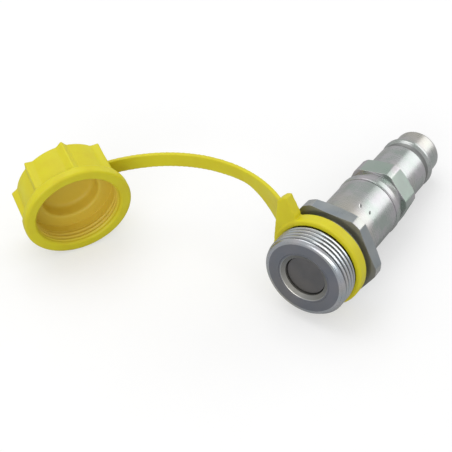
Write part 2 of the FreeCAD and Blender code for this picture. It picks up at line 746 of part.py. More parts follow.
def make_screw_cap(body, frame):
    """Ribbed cap: rim, wall, closed end, threaded bore and the recess behind it."""
    turned(body, "Cap", [
        ("mouth_radius", "0"),
        ("rim_radius", "0", "rim_round"),
        ("rim_radius", "rim_length", "rim_round"),
        ("wall_radius", "rim_length"),
        ("end_radius", "cap_length", "cap_round"),
        ("0", "cap_length"),
        ("0", "cap_recess_depth"),
        ("cap_recess_radius", "cap_recess_depth", "cap_recess_round"),
        ("cap_recess_radius", "cap_thread_depth"),
        ("cap_bore", "cap_thread_depth"),
        ("cap_bore", "mouth_radius - cap_bore"),
    ], frame)
    turn = Placement(Vector(), Rotation(Vector(0, 1, 0), value("rib_angle")))
    sketch = new_sketch(body, "RibOutline", frame.multiply(turn).multiply(across_axis("rim_length")))
    root = "end_radius - rib_root"
    draw_outline(sketch, [(root, "-rib_foot_width / 2"), ("rib_radius", "-rib_tip_width / 2"),
                          ("rib_radius", "rib_tip_width / 2"), (root, "rib_foot_width / 2")])
    rib = body.newObject("PartDesign::Pad", "Rib")
    rib.Profile = sketch
    rib.setExpression("Length", sized("cap_length - rim_length"))
    rib.Reversed = True
    doc.recompute()
    ribs = body.newObject("PartDesign::PolarPattern", "Ribs")
    ribs.Originals = [rib]
    ribs.Axis = (doc.getObject("CapOutline"), ["V_Axis"])
    ribs.Angle = 360
    ribs.setExpression("Occurrences", sized("rib_count"))
    body.Tip = ribs
    doc.recompute()


def make_dust_cap():
    """One soft moulding: band round the relief, lug, strap bent on edge, and ribbed screw cap."""
    body = new_body("dust_cap", Placement())
    band_frame = AXIS.multiply(Placement(Vector(-value("band_shift"), 0, value("band_lift")), Rotation()))
    make_band(body, band_frame)

    heading = Rotation(Vector(0, 0, 1), value("cap_heading_angle"))
    leaning = heading * Rotation(Vector(1, 0, 0), value("cap_rise_angle"))
    mouth = Vector(-value("cap_across"), -value("cap_ahead"), value("rim_radius * cos(cap_rise_angle)"))
    cap_frame = Placement(mouth, leaning)
    lug_side = Vector(value("strap_lap - lug_reach - band_radius * sin(lug_angle)"),
                      value(f"{LUG_BACK} - lug_thickness / 2"),
                      value("band_radius * cos(lug_angle) + lug_strap_seat"))
    root = value("wall_radius - strap_lap")
    around = math.radians(value("strap_root_angle"))
    cap_side = Vector(root * math.cos(around), value("strap_depth"), root * math.sin(around))
    make_strap(body, cap_frame.multVec(cap_side), band_frame.multVec(lug_side))
    make_screw_cap(body, cap_frame)
    return body


def centre_on_origin(pieces):
    """Move the pieces together until the middle of their footprint is the origin."""
    box = Part.makeCompound([piece.Shape for piece in pieces]).optimalBoundingBox(False)
    shift = Vector(-(box.XMin + box.XMax) / 2, -(box.YMin + box.YMax) / 2, -box.ZMin)
    for piece in pieces:
        piece.Placement = Placement(shift, Rotation()).multiply(piece.Placement)
    doc.recompute()
    return shift


pieces = [make_front_body(), *make_front_valve(), make_rear_body(), *make_joint_seals(), *make_rear_valve(),
          make_dust_cap()]
footprint_shift = centre_on_origin(pieces)

for item in doc.Objects:
    assert not {"Invalid", "Error"} & set(item.State), f"{item.Name} is {item.State}"
for piece in pieces:
    assert not piece.Shape.isNull() and piece.Shape.isValid(), f"{piece.Label} has no valid shape"

os.makedirs("parts", exist_ok=True)
for piece in pieces:
    piece.Shape.exportStep(f"parts/{piece.Label}.step")
    box = piece.Shape.BoundBox
    print(piece.Label, len(piece.Shape.Solids), round(piece.Shape.Volume, 1),
          [round(number, 2) for number in (box.XMin, box.XMax, box.YMin, box.YMax, box.ZMin, box.ZMax)])
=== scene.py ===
"""Dress the plated hydraulic adapter and its soft dust cap, and light them as on a studio table.

Sizes are millimetres unless a name says otherwise. The turned pieces are drawn in their own frame:
the origin is the middle of the front face, +Y runs along the axis to the coupling tip and +Z is
square to the upper flat of the large hexagon. Angles round the axis start at the top and grow
towards the right.
"""

import json
import logging
import math
from collections.abc import Callable, Sequence
from dataclasses import dataclass, field
from enum import Enum
from typing import ClassVar

import bmesh
import bpy
from mathutils import Matrix, Vector

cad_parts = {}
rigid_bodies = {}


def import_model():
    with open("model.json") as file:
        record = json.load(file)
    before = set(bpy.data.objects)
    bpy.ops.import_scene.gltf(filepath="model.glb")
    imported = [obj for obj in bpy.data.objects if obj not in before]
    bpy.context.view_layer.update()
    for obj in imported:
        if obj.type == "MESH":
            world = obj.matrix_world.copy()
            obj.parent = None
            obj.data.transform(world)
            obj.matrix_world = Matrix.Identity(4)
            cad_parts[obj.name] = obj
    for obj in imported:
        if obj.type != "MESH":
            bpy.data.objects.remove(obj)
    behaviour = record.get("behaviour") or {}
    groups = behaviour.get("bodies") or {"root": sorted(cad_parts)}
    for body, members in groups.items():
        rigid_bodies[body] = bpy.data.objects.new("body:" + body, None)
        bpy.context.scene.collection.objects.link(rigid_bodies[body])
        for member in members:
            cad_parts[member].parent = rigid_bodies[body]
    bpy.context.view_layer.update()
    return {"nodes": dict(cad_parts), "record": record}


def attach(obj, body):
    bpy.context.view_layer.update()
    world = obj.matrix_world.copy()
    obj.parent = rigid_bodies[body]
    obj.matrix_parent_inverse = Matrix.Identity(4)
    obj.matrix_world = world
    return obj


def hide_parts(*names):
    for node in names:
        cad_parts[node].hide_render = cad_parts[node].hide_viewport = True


MM = 0.001
LOG = logging.getLogger("adapter")

# Steps of a rounded corner, and the largest share of a side that the rounding takes.
ROUND_STEPS = 4
ROUND_REACH = 0.45
# Distance in metres at which corners merge, and how far large faces pull the shading, in per cent.
WELD = 1e-7
FACE_WEIGHT = 80


class Zone(Enum):
    """Which finish a stretch of a piece takes; the value is its material slot on the mesh."""

    TURNED = 0
    FLATS = 1
    FACE = 2
    THREAD = 3
    # The large hexagon's front face, the seat ring's bore and the ball groove, darkened as painted
    # shade.
    SHADED_SIDE = 4
    NICK = 5
    EDGE = 6


@dataclass(frozen=True)
class Corner:
    """One corner of a turned outline.

    Attributes:
        station: Distance along the axis.
        radius: Distance from the axis.
        rounding: Radius of the rounding at this corner.
        zone: Finish of the stretch that starts here.
    """

    station: float
    radius: float
    rounding: float = 0.0
    zone: Zone = Zone.TURNED


Outline = Callable[[float], list[Corner]]


def rounded_path(corners: Sequence[Corner]) -> list[tuple[float, float, Zone]]:
    """Replace each rounded corner of a closed outline by a short arc.

    Args:
        corners: Corners in order; the last joins the first.

    Returns:
        Points as (station, radius, zone), as many for every set of corners of one outline.
    """
    path = []
    for place, corner in enumerate(corners):
        if corner.rounding == 0.0:
            path.append((corner.station, corner.radius, corner.zone))
            continue
        here = Vector((corner.station, corner.radius))
        before = corners[place - 1]
        after = corners[(place + 1) % len(corners)]
        back = Vector((before.station, before.radius)) - here
        ahead = Vector((after.station, after.radius)) - here
        reach = min(corner.rounding, ROUND_REACH * back.length, ROUND_REACH * ahead.length)
        start = here + back.normalized() * reach
        stop = here + ahead.normalized() * reach
        for step in range(ROUND_STEPS + 1):
            share = step / ROUND_STEPS
            point = start.lerp(here, share).lerp(here.lerp(stop, share), share)
            path.append((point.x, point.y, corner.zone if step == ROUND_STEPS else before.zone))
    return path


def smooth_least(first: float, second: float, blend: float) -> float:
    """Return the lesser of two lengths, rounded off where they are within a blend of each other."""
    gap = max(blend - abs(first - second), 0.0) / blend
    return min(first, second) - 0.25 * blend * gap * gap


def link_object(name: str, data: bpy.types.ID) -> bpy.types.Object:
    """Make an object and link it to the scene.

    Args:
        name: Name of the object.
        data: Its mesh, lamp or camera.

    Returns:
        The new object.
    """
    made = bpy.data.objects.new(name, data)
    bpy.context.scene.collection.objects.link(made)
    return made


def mesh_object(name: str, vertices: Sequence[Vector], faces: Sequence[tuple[int, ...]],
                zones: Sequence[int] = ()) -> bpy.types.Object:
    """Make a smooth-shaded mesh object and link it to the scene.

    Args:
        name: Name of the piece.
        vertices: Corners in metres.
        faces: Corner numbers of each face.
        zones: Material slot of each face, where there is more than one.

    Returns:
        The new object.
    """
    mesh = bpy.data.meshes.new(name)
    mesh.from_pydata(vertices, [], faces)
    if zones:
        mesh.polygons.foreach_set("material_index", zones)
    work = bmesh.new()
    work.from_mesh(mesh)
    bmesh.ops.remove_doubles(work, verts=work.verts, dist=WELD)
    bmesh.ops.recalc_face_normals(work, faces=work.faces)
    work.to_mesh(mesh)
    work.free()
    mesh.shade_smooth()
    return link_object(name, mesh)


def bake_modifiers(piece: bpy.types.Object) -> None:
    """Apply a piece's modifiers to its mesh.

    Args:
        piece: The mesh object, which keeps no modifier.
    """
    bpy.context.view_layer.update()
    depsgraph = bpy.context.evaluated_depsgraph_get()
    baked = bpy.data.meshes.new_from_object(piece.evaluated_get(depsgraph))
    piece.modifiers.clear()
    piece.data = baked


def turn(name: str, outline: Outline, columns: int) -> bpy.types.Object:
    """Sweep an outline round the Y axis; the outline may change with the angle.

    Args:
        name: Name of the piece.
        outline: Gives the closed outline at an angle in radians.
        columns: Number of steps round the axis.

    Returns:
        A closed mesh in the turned frame, in metres.
    """
    vertices, faces, zones = [], [], []
    rows = 0
    for column in range(columns):
        angle = math.tau * column / columns
        path = rounded_path(outline(angle))
        rows = len(path)
        for station, radius, _ in path:
            spot = Vector((math.sin(angle) * radius, station, math.cos(angle) * radius))
            vertices.append(spot * MM)
        for row, (_, _, zone) in enumerate(path):
            near, far = column * rows, (column + 1) % columns * rows
            after = (row + 1) % rows
            faces.append((near + row, far + row, far + after, near + after))
            zones.append(zone.value)
    piece = mesh_object(name, vertices, faces, zones)
    weighted = piece.modifiers.new("weighted", "WEIGHTED_NORMAL")
    weighted.mode = "FACE_AREA"
    weighted.weight = FACE_WEIGHT
    bake_modifiers(piece)
    return piece


class DressedPiece:
    """A sub-assembly that builds its mesh and dresses it."""

    @staticmethod
    def dress(piece: bpy.types.Object, materials: Sequence[bpy.types.Material], body: str,
              slot: str, *nodes: str) -> None:
        """Give a piece its materials, its body and the nodes that it stands for.

        Args:
            piece: The finished mesh object.
            materials: Materials in the order of the mesh's slots.
            body: Body that the piece moves with.
            slot: Material slot of the record; not used.
            *nodes: CAD nodes that it replaces.
        """
        for material in materials:
            piece.data.materials.append(material)
        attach(piece, body)
        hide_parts(*nodes)
        LOG.info("%s: %d faces", piece.name, len(piece.data.polygons))


class TurnedPiece(DressedPiece):
    """A piece that one closed outline makes, swept round its own Y axis."""

    columns: ClassVar[int] = 192

    def outline(self, angle: float) -> list[Corner]:
        """Closed outline at an angle in radians."""
        raise NotImplementedError

    def build(self, name: str, home: Matrix) -> bpy.types.Object:
        """Build the piece, its object at the origin and its place in its mesh.

        Args:
            name: Name of the piece.
            home: Placement of the piece's own frame in the row's frame.

        Returns:
            The mesh object.
        """
        piece = turn(name, self.outline, self.columns)
        piece.data.transform(home)
        piece.data.update()
        return piece


@dataclass(frozen=True)
class Thread:
    """A screw thread cut along the axis.

    Attributes:
        pitch: Advance in one turn.
        depth: Height of a ridge above the root.
        row: Spacing of the mesh rows along the axis.
        crest_share: Share of half a pitch that the flat of the crest takes.
        root_share: The same for the root.
        easing: Share of the flank's curve that is eased at both ends.
    """

    pitch: float = 2.0
    depth: float = 1.15
    row: float = 0.09
    crest_share: float = 0.12
    root_share: float = 0.14
    easing: float = 0.15

    def drop(self, station: float, angle: float) -> float:
        """Measure the form of the thread.

        Args:
            station: Station along the axis.
            angle: Angle round the axis, in radians.

        Returns:
            The depth below the crest at that place.
        """
        phase = (station / self.pitch - angle / math.tau) % 1.0
        away = abs(phase - 0.5) * 2.0
        flank = (away - self.crest_share) / (1.0 - self.crest_share - self.root_share)
        eased = min(max(flank, 0.0), 1.0)
        smooth = eased * eased * (3.0 - 2.0 * eased)
        return self.depth * ((1.0 - self.easing) * eased + self.easing * smooth)

    def stations(self, start: float, stop: float) -> list[float]:
        """Rows of the mesh between two stations, both ends included."""
        count = math.ceil((stop - start) / self.row)
        return [start + (stop - start) * step / count for step in range(count + 1)]


@dataclass(frozen=True)
class Hexagon:
    """Six flats milled on a turned collar.

    Attributes:
        flats: Distance across the flats.
        corner: Radius that the corners are turned to.
        turned_by: Degrees by which the first flat is turned from the top.
        blend: Width of the soft line between a flat and a turned corner.
    """

    flats: float
    corner: float
    turned_by: float = 0.0
    blend: float = 0.16

    def radius(self, angle: float) -> float:
        """Distance of the collar's side from the axis at an angle in radians."""
        return smooth_least(self.flat_distance(angle), self.corner, self.blend)

    def flat_distance(self, angle: float) -> float:
        """Distance from the axis to the plane of the nearest flat, at an angle in radians."""
        off = (math.degrees(angle) - self.turned_by + 30.0) % 60.0 - 30.0
        return self.flats / 2.0 / math.cos(math.radians(off))

    def zone(self, angle: float) -> Zone:
        """Finish of the collar's side at an angle: milled flat, or turned corner."""
        return Zone.TURNED if self.flat_distance(angle) > self.corner else Zone.FLATS


@dataclass(frozen=True)
class Nick:
    """A short dent knocked into the barrel.

    Attributes:
        station: Station of its middle.
        turned_by: Its middle's angle round the axis, in degrees.
        length: Length of the dent.
        width: Width of the dent.
        lean: Angle between the dent and the axis, in degrees.
        depth: Depth at the middle.
    """

    station: float
    turned_by: float
    length: float = 2.6
    width: float = 0.42
    lean: float = 150.0
    depth: float = 0.22

    def cut(self, station: float, angle: float, radius: float) -> float:
        """Measure the dent.

        Args:
            station: Station along the axis.
            angle: Angle round the axis, in radians.
            radius: Radius of the barrel.

        Returns:
            The depth below the barrel's side at that place.
        """
        lean = math.radians(self.lean)
        ahead = station - self.station
        aside = (angle - math.radians(self.turned_by)) * radius
        along = (ahead * math.cos(lean) + aside * math.sin(lean)) / self.length * 2.0
        across = (aside * math.cos(lean) - ahead * math.sin(lean)) / self.width * 2.0
        return self.depth * math.exp(-along ** 4 - across ** 2)


@dataclass
class AdapterPlace:
    """Where the adapter and its cap lie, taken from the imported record.

    Attributes:
        face: Middle of the front face.
        forward: Direction from the front face to the coupling tip.
        thread_middle: Station of the record's thread mount, behind the front face.
    """

    face: Vector = field(default_factory=Vector)
    forward: Vector = field(default_factory=Vector)
    thread_middle: float = 5.1

    def read(self, record: dict) -> None:
        """Take the place and the axis from the thread mount.

        Args:
            record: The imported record.
        """
        mount = next(item for item in record["mounts"] if item["name"] == "front_thread")
        self.forward = -Vector(mount["axis"]).normalized()
        self.face = Vector(mount["pos_m"]) - self.forward * self.thread_middle * MM

    def matrix(self) -> Matrix:
        """Place the turned frame.

        Returns:
            Placement of the turned frame in the row's frame.
        """
        right = Vector((1.0, 0.0, 0.0))
        up = right.cross(self.forward)
        turned = Matrix((right, self.forward, up)).transposed()
        return Matrix.Translation(self.face) @ turned.to_4x4()


@dataclass
class FrontBody(TurnedPiece):
    """Front body: threaded end, relief, large hexagon and barrel, bored right through.

    Attributes:
        lead: Length of the rounded front edge.
        edge_end: Station where the edge's finish gives way to the thread's.
        nick_mark: Depth from which a nick has its own finish.
    """

    columns: ClassVar[int] = 360
    face_radius: float = 15.7
    thread_radius: float = 18.0
    lead: float = 2.1
    thread_length: float = 9.6
    first_row: float = 0.06
    run_out: float = 0.5
    run_out_slope: float = 1.4
    edge_end: float = 1.7
    relief_radius: float = 17.0
    hex_start: float = 18.4
    hex_end: float = 24.2
    front_bevel: float = 0.3
    back_bevel: float = 0.6
    barrel_radius: float = 14.0
    joint: float = 53.5
    joint_edge: float = 0.3
    mouth_radius: float = 11.3
    mouth_depth: float = 9.0
    throat_radius: float = 8.6
    throat_end: float = 10.4
    chamber_radius: float = 10.9
    chamber_end: float = 30.0
    guide_radius: float = 11.3
    socket_start: float = 39.5
    socket_radius: float = 12.2
    edge: float = 0.08
    thread: Thread = Thread()
    hexagon: Hexagon = Hexagon(flats=40.0, corner=22.0)
    nicks: tuple[Nick, ...] = (Nick(37.6, 15.6, length=2.0), Nick(38.1, 34.8, length=1.7))
    nick_margin: float = 2.0
    nick_row: float = 0.16
    nick_mark: float = 0.07

    def thread_top(self, station: float, angle: float) -> float:
        """Measure the threaded end, its lead and run-out included.

        Args:
            station: Station along the axis.
            angle: Angle round the axis, in radians.

        Returns:
            The distance from the axis at that place.
        """
        left = max(1.0 - station / self.lead, 0.0)
        rise = self.thread_radius - self.face_radius
        lead = self.face_radius + rise * math.sqrt(1.0 - left * left)
        past = max(station - self.thread_length + self.run_out, 0.0)
        run_out = self.thread_radius - self.run_out_slope * past
        cut = self.thread_radius - self.thread.drop(station, angle)
        return max(min(lead, cut, run_out), min(lead, self.thread_radius - self.thread.depth))

    def thread_rows(self, angle: float) -> list[Corner]:
        """Draw the rounded front edge and the thread.

        Args:
            angle: Angle round the axis, in radians.

        Returns:
            Corners from the front to the relief.
        """
        rows = self.thread.stations(self.first_row, self.thread_length + self.run_out)
        return [Corner(station, self.thread_top(station, angle), 0.0,
                       Zone.EDGE if station < self.edge_end else Zone.THREAD) for station in rows]

    def barrel_rows(self, angle: float) -> list[Corner]:
        """Draw the stretch of the barrel that has the nicks.

        Args:
            angle: Angle round the axis, in radians.

        Returns:
            Corners close enough together to show the nicks.
        """
        stations = [nick.station for nick in self.nicks]
        start, stop = min(stations) - self.nick_margin, max(stations) + self.nick_margin
        rows = []
        for step in range(math.ceil((stop - start) / self.nick_row) + 1):
            station = start + step * self.nick_row
            depth = sum(nick.cut(station, angle, self.barrel_radius) for nick in self.nicks)
            zone = Zone.NICK if depth > self.nick_mark else Zone.TURNED
            rows.append(Corner(station, self.barrel_radius - depth, 0.0, zone))
        return rows

    def outline(self, angle: float) -> list[Corner]:
        """Draw the outside from the front, then the bore from the back.

        Args:
            angle: Angle round the axis, in radians.

        Returns:
            The outline's corners, the last of which joins the first.
        """
        side = self.hexagon.radius(angle)
        shoulder = self.hexagon.flats / 2.0 - self.front_bevel / 2.0
        share = (side - shoulder) / (self.hexagon.corner - shoulder)
        return [
            Corner(self.edge, self.mouth_radius, 0.0, Zone.FACE),
            Corner(0.0, self.mouth_radius + self.edge, 0.0, Zone.FACE),
            Corner(0.0, self.face_radius, 0.0, Zone.EDGE),
            *self.thread_rows(angle),
            Corner(self.thread_length + self.run_out, self.relief_radius, 0.1),
            Corner(self.hex_start, self.relief_radius, 0.3, Zone.SHADED_SIDE),
            Corner(self.hex_start, shoulder, 0.1, Zone.SHADED_SIDE),
            Corner(self.hex_start + share * self.front_bevel, side, 0.14, self.hexagon.zone(angle)),
            Corner(self.hex_end - share * self.back_bevel, side, 0.14),
            Corner(self.hex_end, shoulder, 0.12),
            Corner(self.hex_end, self.barrel_radius, 0.35),
            *self.barrel_rows(angle),
            Corner(self.joint - self.joint_edge, self.barrel_radius, 0.1),
            Corner(self.joint, self.barrel_radius - self.joint_edge, 0.08),
            Corner(self.joint, self.socket_radius, 0.08),
            Corner(self.socket_start, self.socket_radius),
            Corner(self.socket_start, self.guide_radius),
            Corner(self.chamber_end, self.guide_radius),
            Corner(self.chamber_end, self.chamber_radius),
            Corner(self.throat_end + self.chamber_radius - self.throat_radius, self.chamber_radius),
            Corner(self.throat_end, self.throat_radius, 0.1),
            Corner(self.mouth_depth, self.throat_radius),
            Corner(self.mouth_depth, self.mouth_radius),
        ]


@dataclass
class RearBody(TurnedPiece):
    """Rear body: flange, cone, small hexagon, tail, ball groove, ridge and nose."""

    columns: ClassVar[int] = 288
    spigot_start: float = 41.5
    spigot_radius: float = 12.15
    joint: float = 53.65
    flange_radius: float = 14.3
    cone_start: float = 56.4
    cone_end_radius: float = 12.9
    hex_start: float = 60.9
    hex_end: float = 70.2
    bevel: float = 0.7
    front_cut: float = 0.35
    tail_radius: float = 11.75
    tail_end: float = 86.9
    groove_radius: float = 10.5
    groove_lead: float = 0.8
    groove_trail: float = 1.6
    ridge_start: float = 91.3
    ridge_end: float = 92.9
    ridge_radius: float = 12.0
    nose_radius: float = 10.25
    nose_end: float = 103.55
    nose_round: float = 2.5
    tip_bore: float = 6.6
    tip_seat: float = 99.25
    chamber_radius: float = 8.6
    guide_start: float = 81.85
    guide_radius: float = 8.95
    edge: float = 0.35
    hexagon: Hexagon = Hexagon(flats=27.0, corner=14.85, turned_by=-12.5)

    def outline(self, angle: float) -> list[Corner]:
        """Draw the outside from the spigot, then the bore from the tip.

        Args:
            angle: Angle round the axis, in radians.

        Returns:
            The outline's corners, the last of which joins the first.
        """
        side = self.hexagon.radius(angle)
        shoulder = self.hexagon.flats / 2.0 - self.bevel / 2.0
        slope = self.bevel / (self.hexagon.corner - shoulder)
        cut = slope * (side - shoulder)
        ridge_slope = self.ridge_radius - self.nose_radius
        return [
            Corner(self.spigot_start, self.guide_radius),
            Corner(self.spigot_start, self.spigot_radius, 0.2),
            Corner(self.joint, self.spigot_radius),
            Corner(self.joint, self.flange_radius - self.edge, 0.08),
            Corner(self.joint + self.edge, self.flange_radius, 0.12),
            Corner(self.cone_start, self.flange_radius, 0.25),
            Corner(self.hex_start, self.cone_end_radius, 0.3),
            Corner(self.hex_start, shoulder, 0.1),
            Corner(self.hex_start + self.front_cut * cut, side, 0.12, self.hexagon.zone(angle)),
            Corner(self.hex_end - cut, side, 0.14),
            Corner(self.hex_end, shoulder, 0.12),
            Corner(self.hex_end, self.tail_radius, 0.3),
            Corner(self.tail_end, self.tail_radius, 0.25, Zone.SHADED_SIDE),
            Corner(self.tail_end + self.groove_lead, self.groove_radius, 1.0, Zone.SHADED_SIDE),
            Corner(self.ridge_start - self.groove_trail, self.groove_radius, 1.4),
            Corner(self.ridge_start, self.ridge_radius, 0.25),
            Corner(self.ridge_end, self.ridge_radius, 0.25),
            Corner(self.ridge_end + ridge_slope, self.nose_radius, 0.3),
            Corner(self.nose_end, self.nose_radius, self.nose_round, Zone.FACE),
            Corner(self.nose_end, self.tip_bore + self.edge, 0.12),
            Corner(self.nose_end - self.edge, self.tip_bore, 0.12),
            Corner(self.tip_seat, self.tip_bore, 0.1),
            Corner(self.tip_seat - self.chamber_radius + self.tip_bore, self.chamber_radius),
            Corner(self.guide_start, self.chamber_radius),
            Corner(self.guide_start, self.guide_radius),
        ]


@dataclass
class SeatRing(TurnedPiece):
    """Ring in the mouth of the front body, its bore dished towards the poppet."""

    front: float = 0.03
    back: float = 5.4
    outer: float = 11.25
    bore: float = 8.8
    dish_radius: float = 10.6
    dish_depth: float = 1.15
    dish_edge: float = 0.22
    dish_slope: float = 0.7

    def outline(self, angle: float) -> list[Corner]:
        """Draw the ring, which is the same at every angle.

        Args:
            angle: Angle round the axis, in radians.

        Returns:
            The outline's corners, the last of which joins the first.
        """
        return [
            Corner(self.front, self.dish_radius, 0.0, Zone.FACE),
            Corner(self.front, self.outer, 0.04),
            Corner(self.back, self.outer),
            Corner(self.back, self.bore, 0.0, Zone.SHADED_SIDE),
            Corner(self.dish_depth, self.bore, 0.1, Zone.SHADED_SIDE),
            Corner(self.front + self.dish_edge,
                   self.dish_radius - self.dish_slope * self.dish_edge),
        ]


@dataclass
class Poppet(TurnedPiece):
    """A valve poppet: flat nose, cone, head and stem, drawn from the nose inwards.

    Attributes:
        nose_station: Station of the flat nose.
        inward: +1 where the stem points to the coupling tip, -1 where it points to the thread.
        plate_radius: Radius of the thin plate that the nose ends in.
    """

    nose_station: float
    inward: int
    plate_radius: float
    nose_radius: float
    cone_start: float
    head_radius: float
    head_length: float
    stem_radius: float
    stem_length: float
    plate_length: float = 1.2

    def outline(self, angle: float) -> list[Corner]:
        """Draw the poppet, which is the same at every angle.

        Args:
            angle: Angle round the axis, in radians.

        Returns:
            The outline's corners, the last of which joins the first.
        """
        cone = self.cone_start + self.inward * (self.head_radius - self.nose_radius)
        head = cone + self.inward * self.head_length
        end = head + self.inward * self.stem_length
        plate = self.nose_station + self.inward * self.plate_length
        return [
            Corner(self.nose_station, 0.0, 0.0, Zone.FACE),
            Corner(self.nose_station, self.plate_radius, 0.2, Zone.FACE),
            Corner(plate, self.plate_radius, 0.1),
            Corner(plate, self.nose_radius),
            Corner(self.cone_start, self.nose_radius),
            Corner(cone, self.head_radius, 0.1),
            Corner(head, self.head_radius, 0.2),
            Corner(head, self.stem_radius, 0.2),
            Corner(end, self.stem_radius, 0.2),
            Corner(end, 0.0),
        ]


FRONT_POPPET = Poppet(
    nose_station=2.1, inward=1, plate_radius=8.42, nose_radius=8.15, cone_start=10.09,
    head_radius=10.1, head_length=3.0, stem_radius=2.5, stem_length=20.5, plate_length=0.7)
REAR_POPPET = Poppet(
    nose_station=102.85, inward=-1, plate_radius=6.3, nose_radius=6.2, cone_start=99.41,
    head_radius=8.0, head_length=3.0, stem_radius=2.2, stem_length=19.0)


@dataclass
class ScrewCap(TurnedPiece):
    """The ribbed cap: rim, wall, ribs, threaded bore and recess.

    Attributes:
        across: Distance of the mouth to the left of the adapter's axis.
        ahead: Distance of the mouth in front of the adapter's face.
        heading: Level direction of the closed end, in degrees from the adapter's heading.
        rise: How far the cap leans back, in degrees.
        rib_foot: Length of a rib's flank; rib_power says how hollow it is.
        rib_turn: Angle of one rib, in degrees.
    """

    columns: ClassVar[int] = 400
    across: float = 97.1
    ahead: float = 17.2
    heading: float = 57.1
    rise: float = 5.2
    length: float = 20.4
    rim_radius: float = 23.3
    rim_length: float = 4.0
    rim_foot: float = 0.7
    wall_radius: float = 20.9
    end_radius: float = 20.3
    mouth_radius: float = 19.0
    bore: float = 18.3
    bore_depth: float = 10.5
    bore_start: float = 0.8
    bore_back: float = 0.4
    recess_radius: float = 12.3
    recess_depth: float = 16.8
    rib_count: int = 8
    rib_radius: float = 22.6
    rib_tip: float = 0.3
    rib_foot: float = 2.6
    rib_power: float = 1.5
    rib_step: float = 0.3
    rib_turn: float = 93.0
    thread: Thread = Thread(pitch=1.9, depth=0.6, row=0.16, crest_share=0.25, root_share=0.3)
    thread_start: float = 1.4
    thread_stop: float = 7.6
    thread_fade: float = 0.8

    def matrix(self, place: AdapterPlace) -> Matrix:
        """Place the cap, with the origin in its mouth and +Y to its closed end.

        Args:
            place: Where the adapter lies.

        Returns:
            Placement of the cap in the row's frame.
        """
        height = self.rim_radius * math.cos(math.radians(self.rise))
        mouth = Vector((place.face.x - self.across * MM, place.face.y - self.ahead * MM,
                        height * MM))
        turned = Matrix.Rotation(math.radians(self.heading), 4, "Z")
        return Matrix.Translation(mouth) @ turned @ Matrix.Rotation(math.radians(self.rise), 4, "X")

    def rib(self, radius: float, angle: float) -> float:
        """Measure the wall with its ribs.

        Args:
            radius: Radius of the plain wall.
            angle: Angle round the axis, in radians.

        Returns:
            The distance from the axis at that angle.
        """
        spacing = 360.0 / self.rib_count
        off = (math.degrees(angle) - self.rib_turn + spacing / 2.0) % spacing - spacing / 2.0
        away = abs(math.radians(off)) * self.rib_radius
        flank = min(max(1.0 - (away - self.rib_tip) / self.rib_foot, 0.0), 1.0)
        return radius + (self.rib_radius - radius) * flank ** self.rib_power

    def bore_radius(self, station: float, angle: float) -> float:
        """Measure the bore with its thread.

        Args:
            station: Station along the axis.
            angle: Angle round the axis, in radians.

        Returns:
            The distance from the axis at that place.
        """
        inside = min(station - self.thread_start, self.thread_stop - station)
        fade = min(max(inside / self.thread_fade, 0.0), 1.0)
        return self.bore - fade * (self.thread.depth - self.thread.drop(station, -angle))

    def outline(self, angle: float) -> list[Corner]:
        """Draw the outside from the mouth, then the inside from the closed end.

        Args:
            angle: Angle round the axis, in radians.

        Returns:
            The outline's corners, the last of which joins the first.
        """
        wall = self.rim_length + self.rim_foot
        middle = 0.5 * (wall + self.length)
        middle_radius = 0.5 * (self.wall_radius + self.end_radius)
        rows = reversed(self.thread.stations(self.bore_start, self.bore_depth - self.bore_back))
        rim_rib = min(self.rib(self.wall_radius, angle), self.rim_radius - self.rib_step)
        return [
            Corner(0.0, self.mouth_radius, 0.8),
            Corner(0.0, self.rim_radius, 1.4),
            Corner(self.rim_length, self.rim_radius, 0.9),
            Corner(wall, rim_rib, 0.4),
            Corner(middle, self.rib(middle_radius, angle)),
            Corner(self.length, self.rib(self.end_radius, angle), 0.7),
            Corner(self.length, 0.0),
            Corner(self.recess_depth, 0.0),
            Corner(self.recess_depth, self.recess_radius, 2.2),
            Corner(self.bore_depth, self.recess_radius, 1.4),
            Corner(self.bore_depth, self.bore, 1.6),
            *[Corner(station, self.bore_radius(station, angle)) for station in rows],
        ]


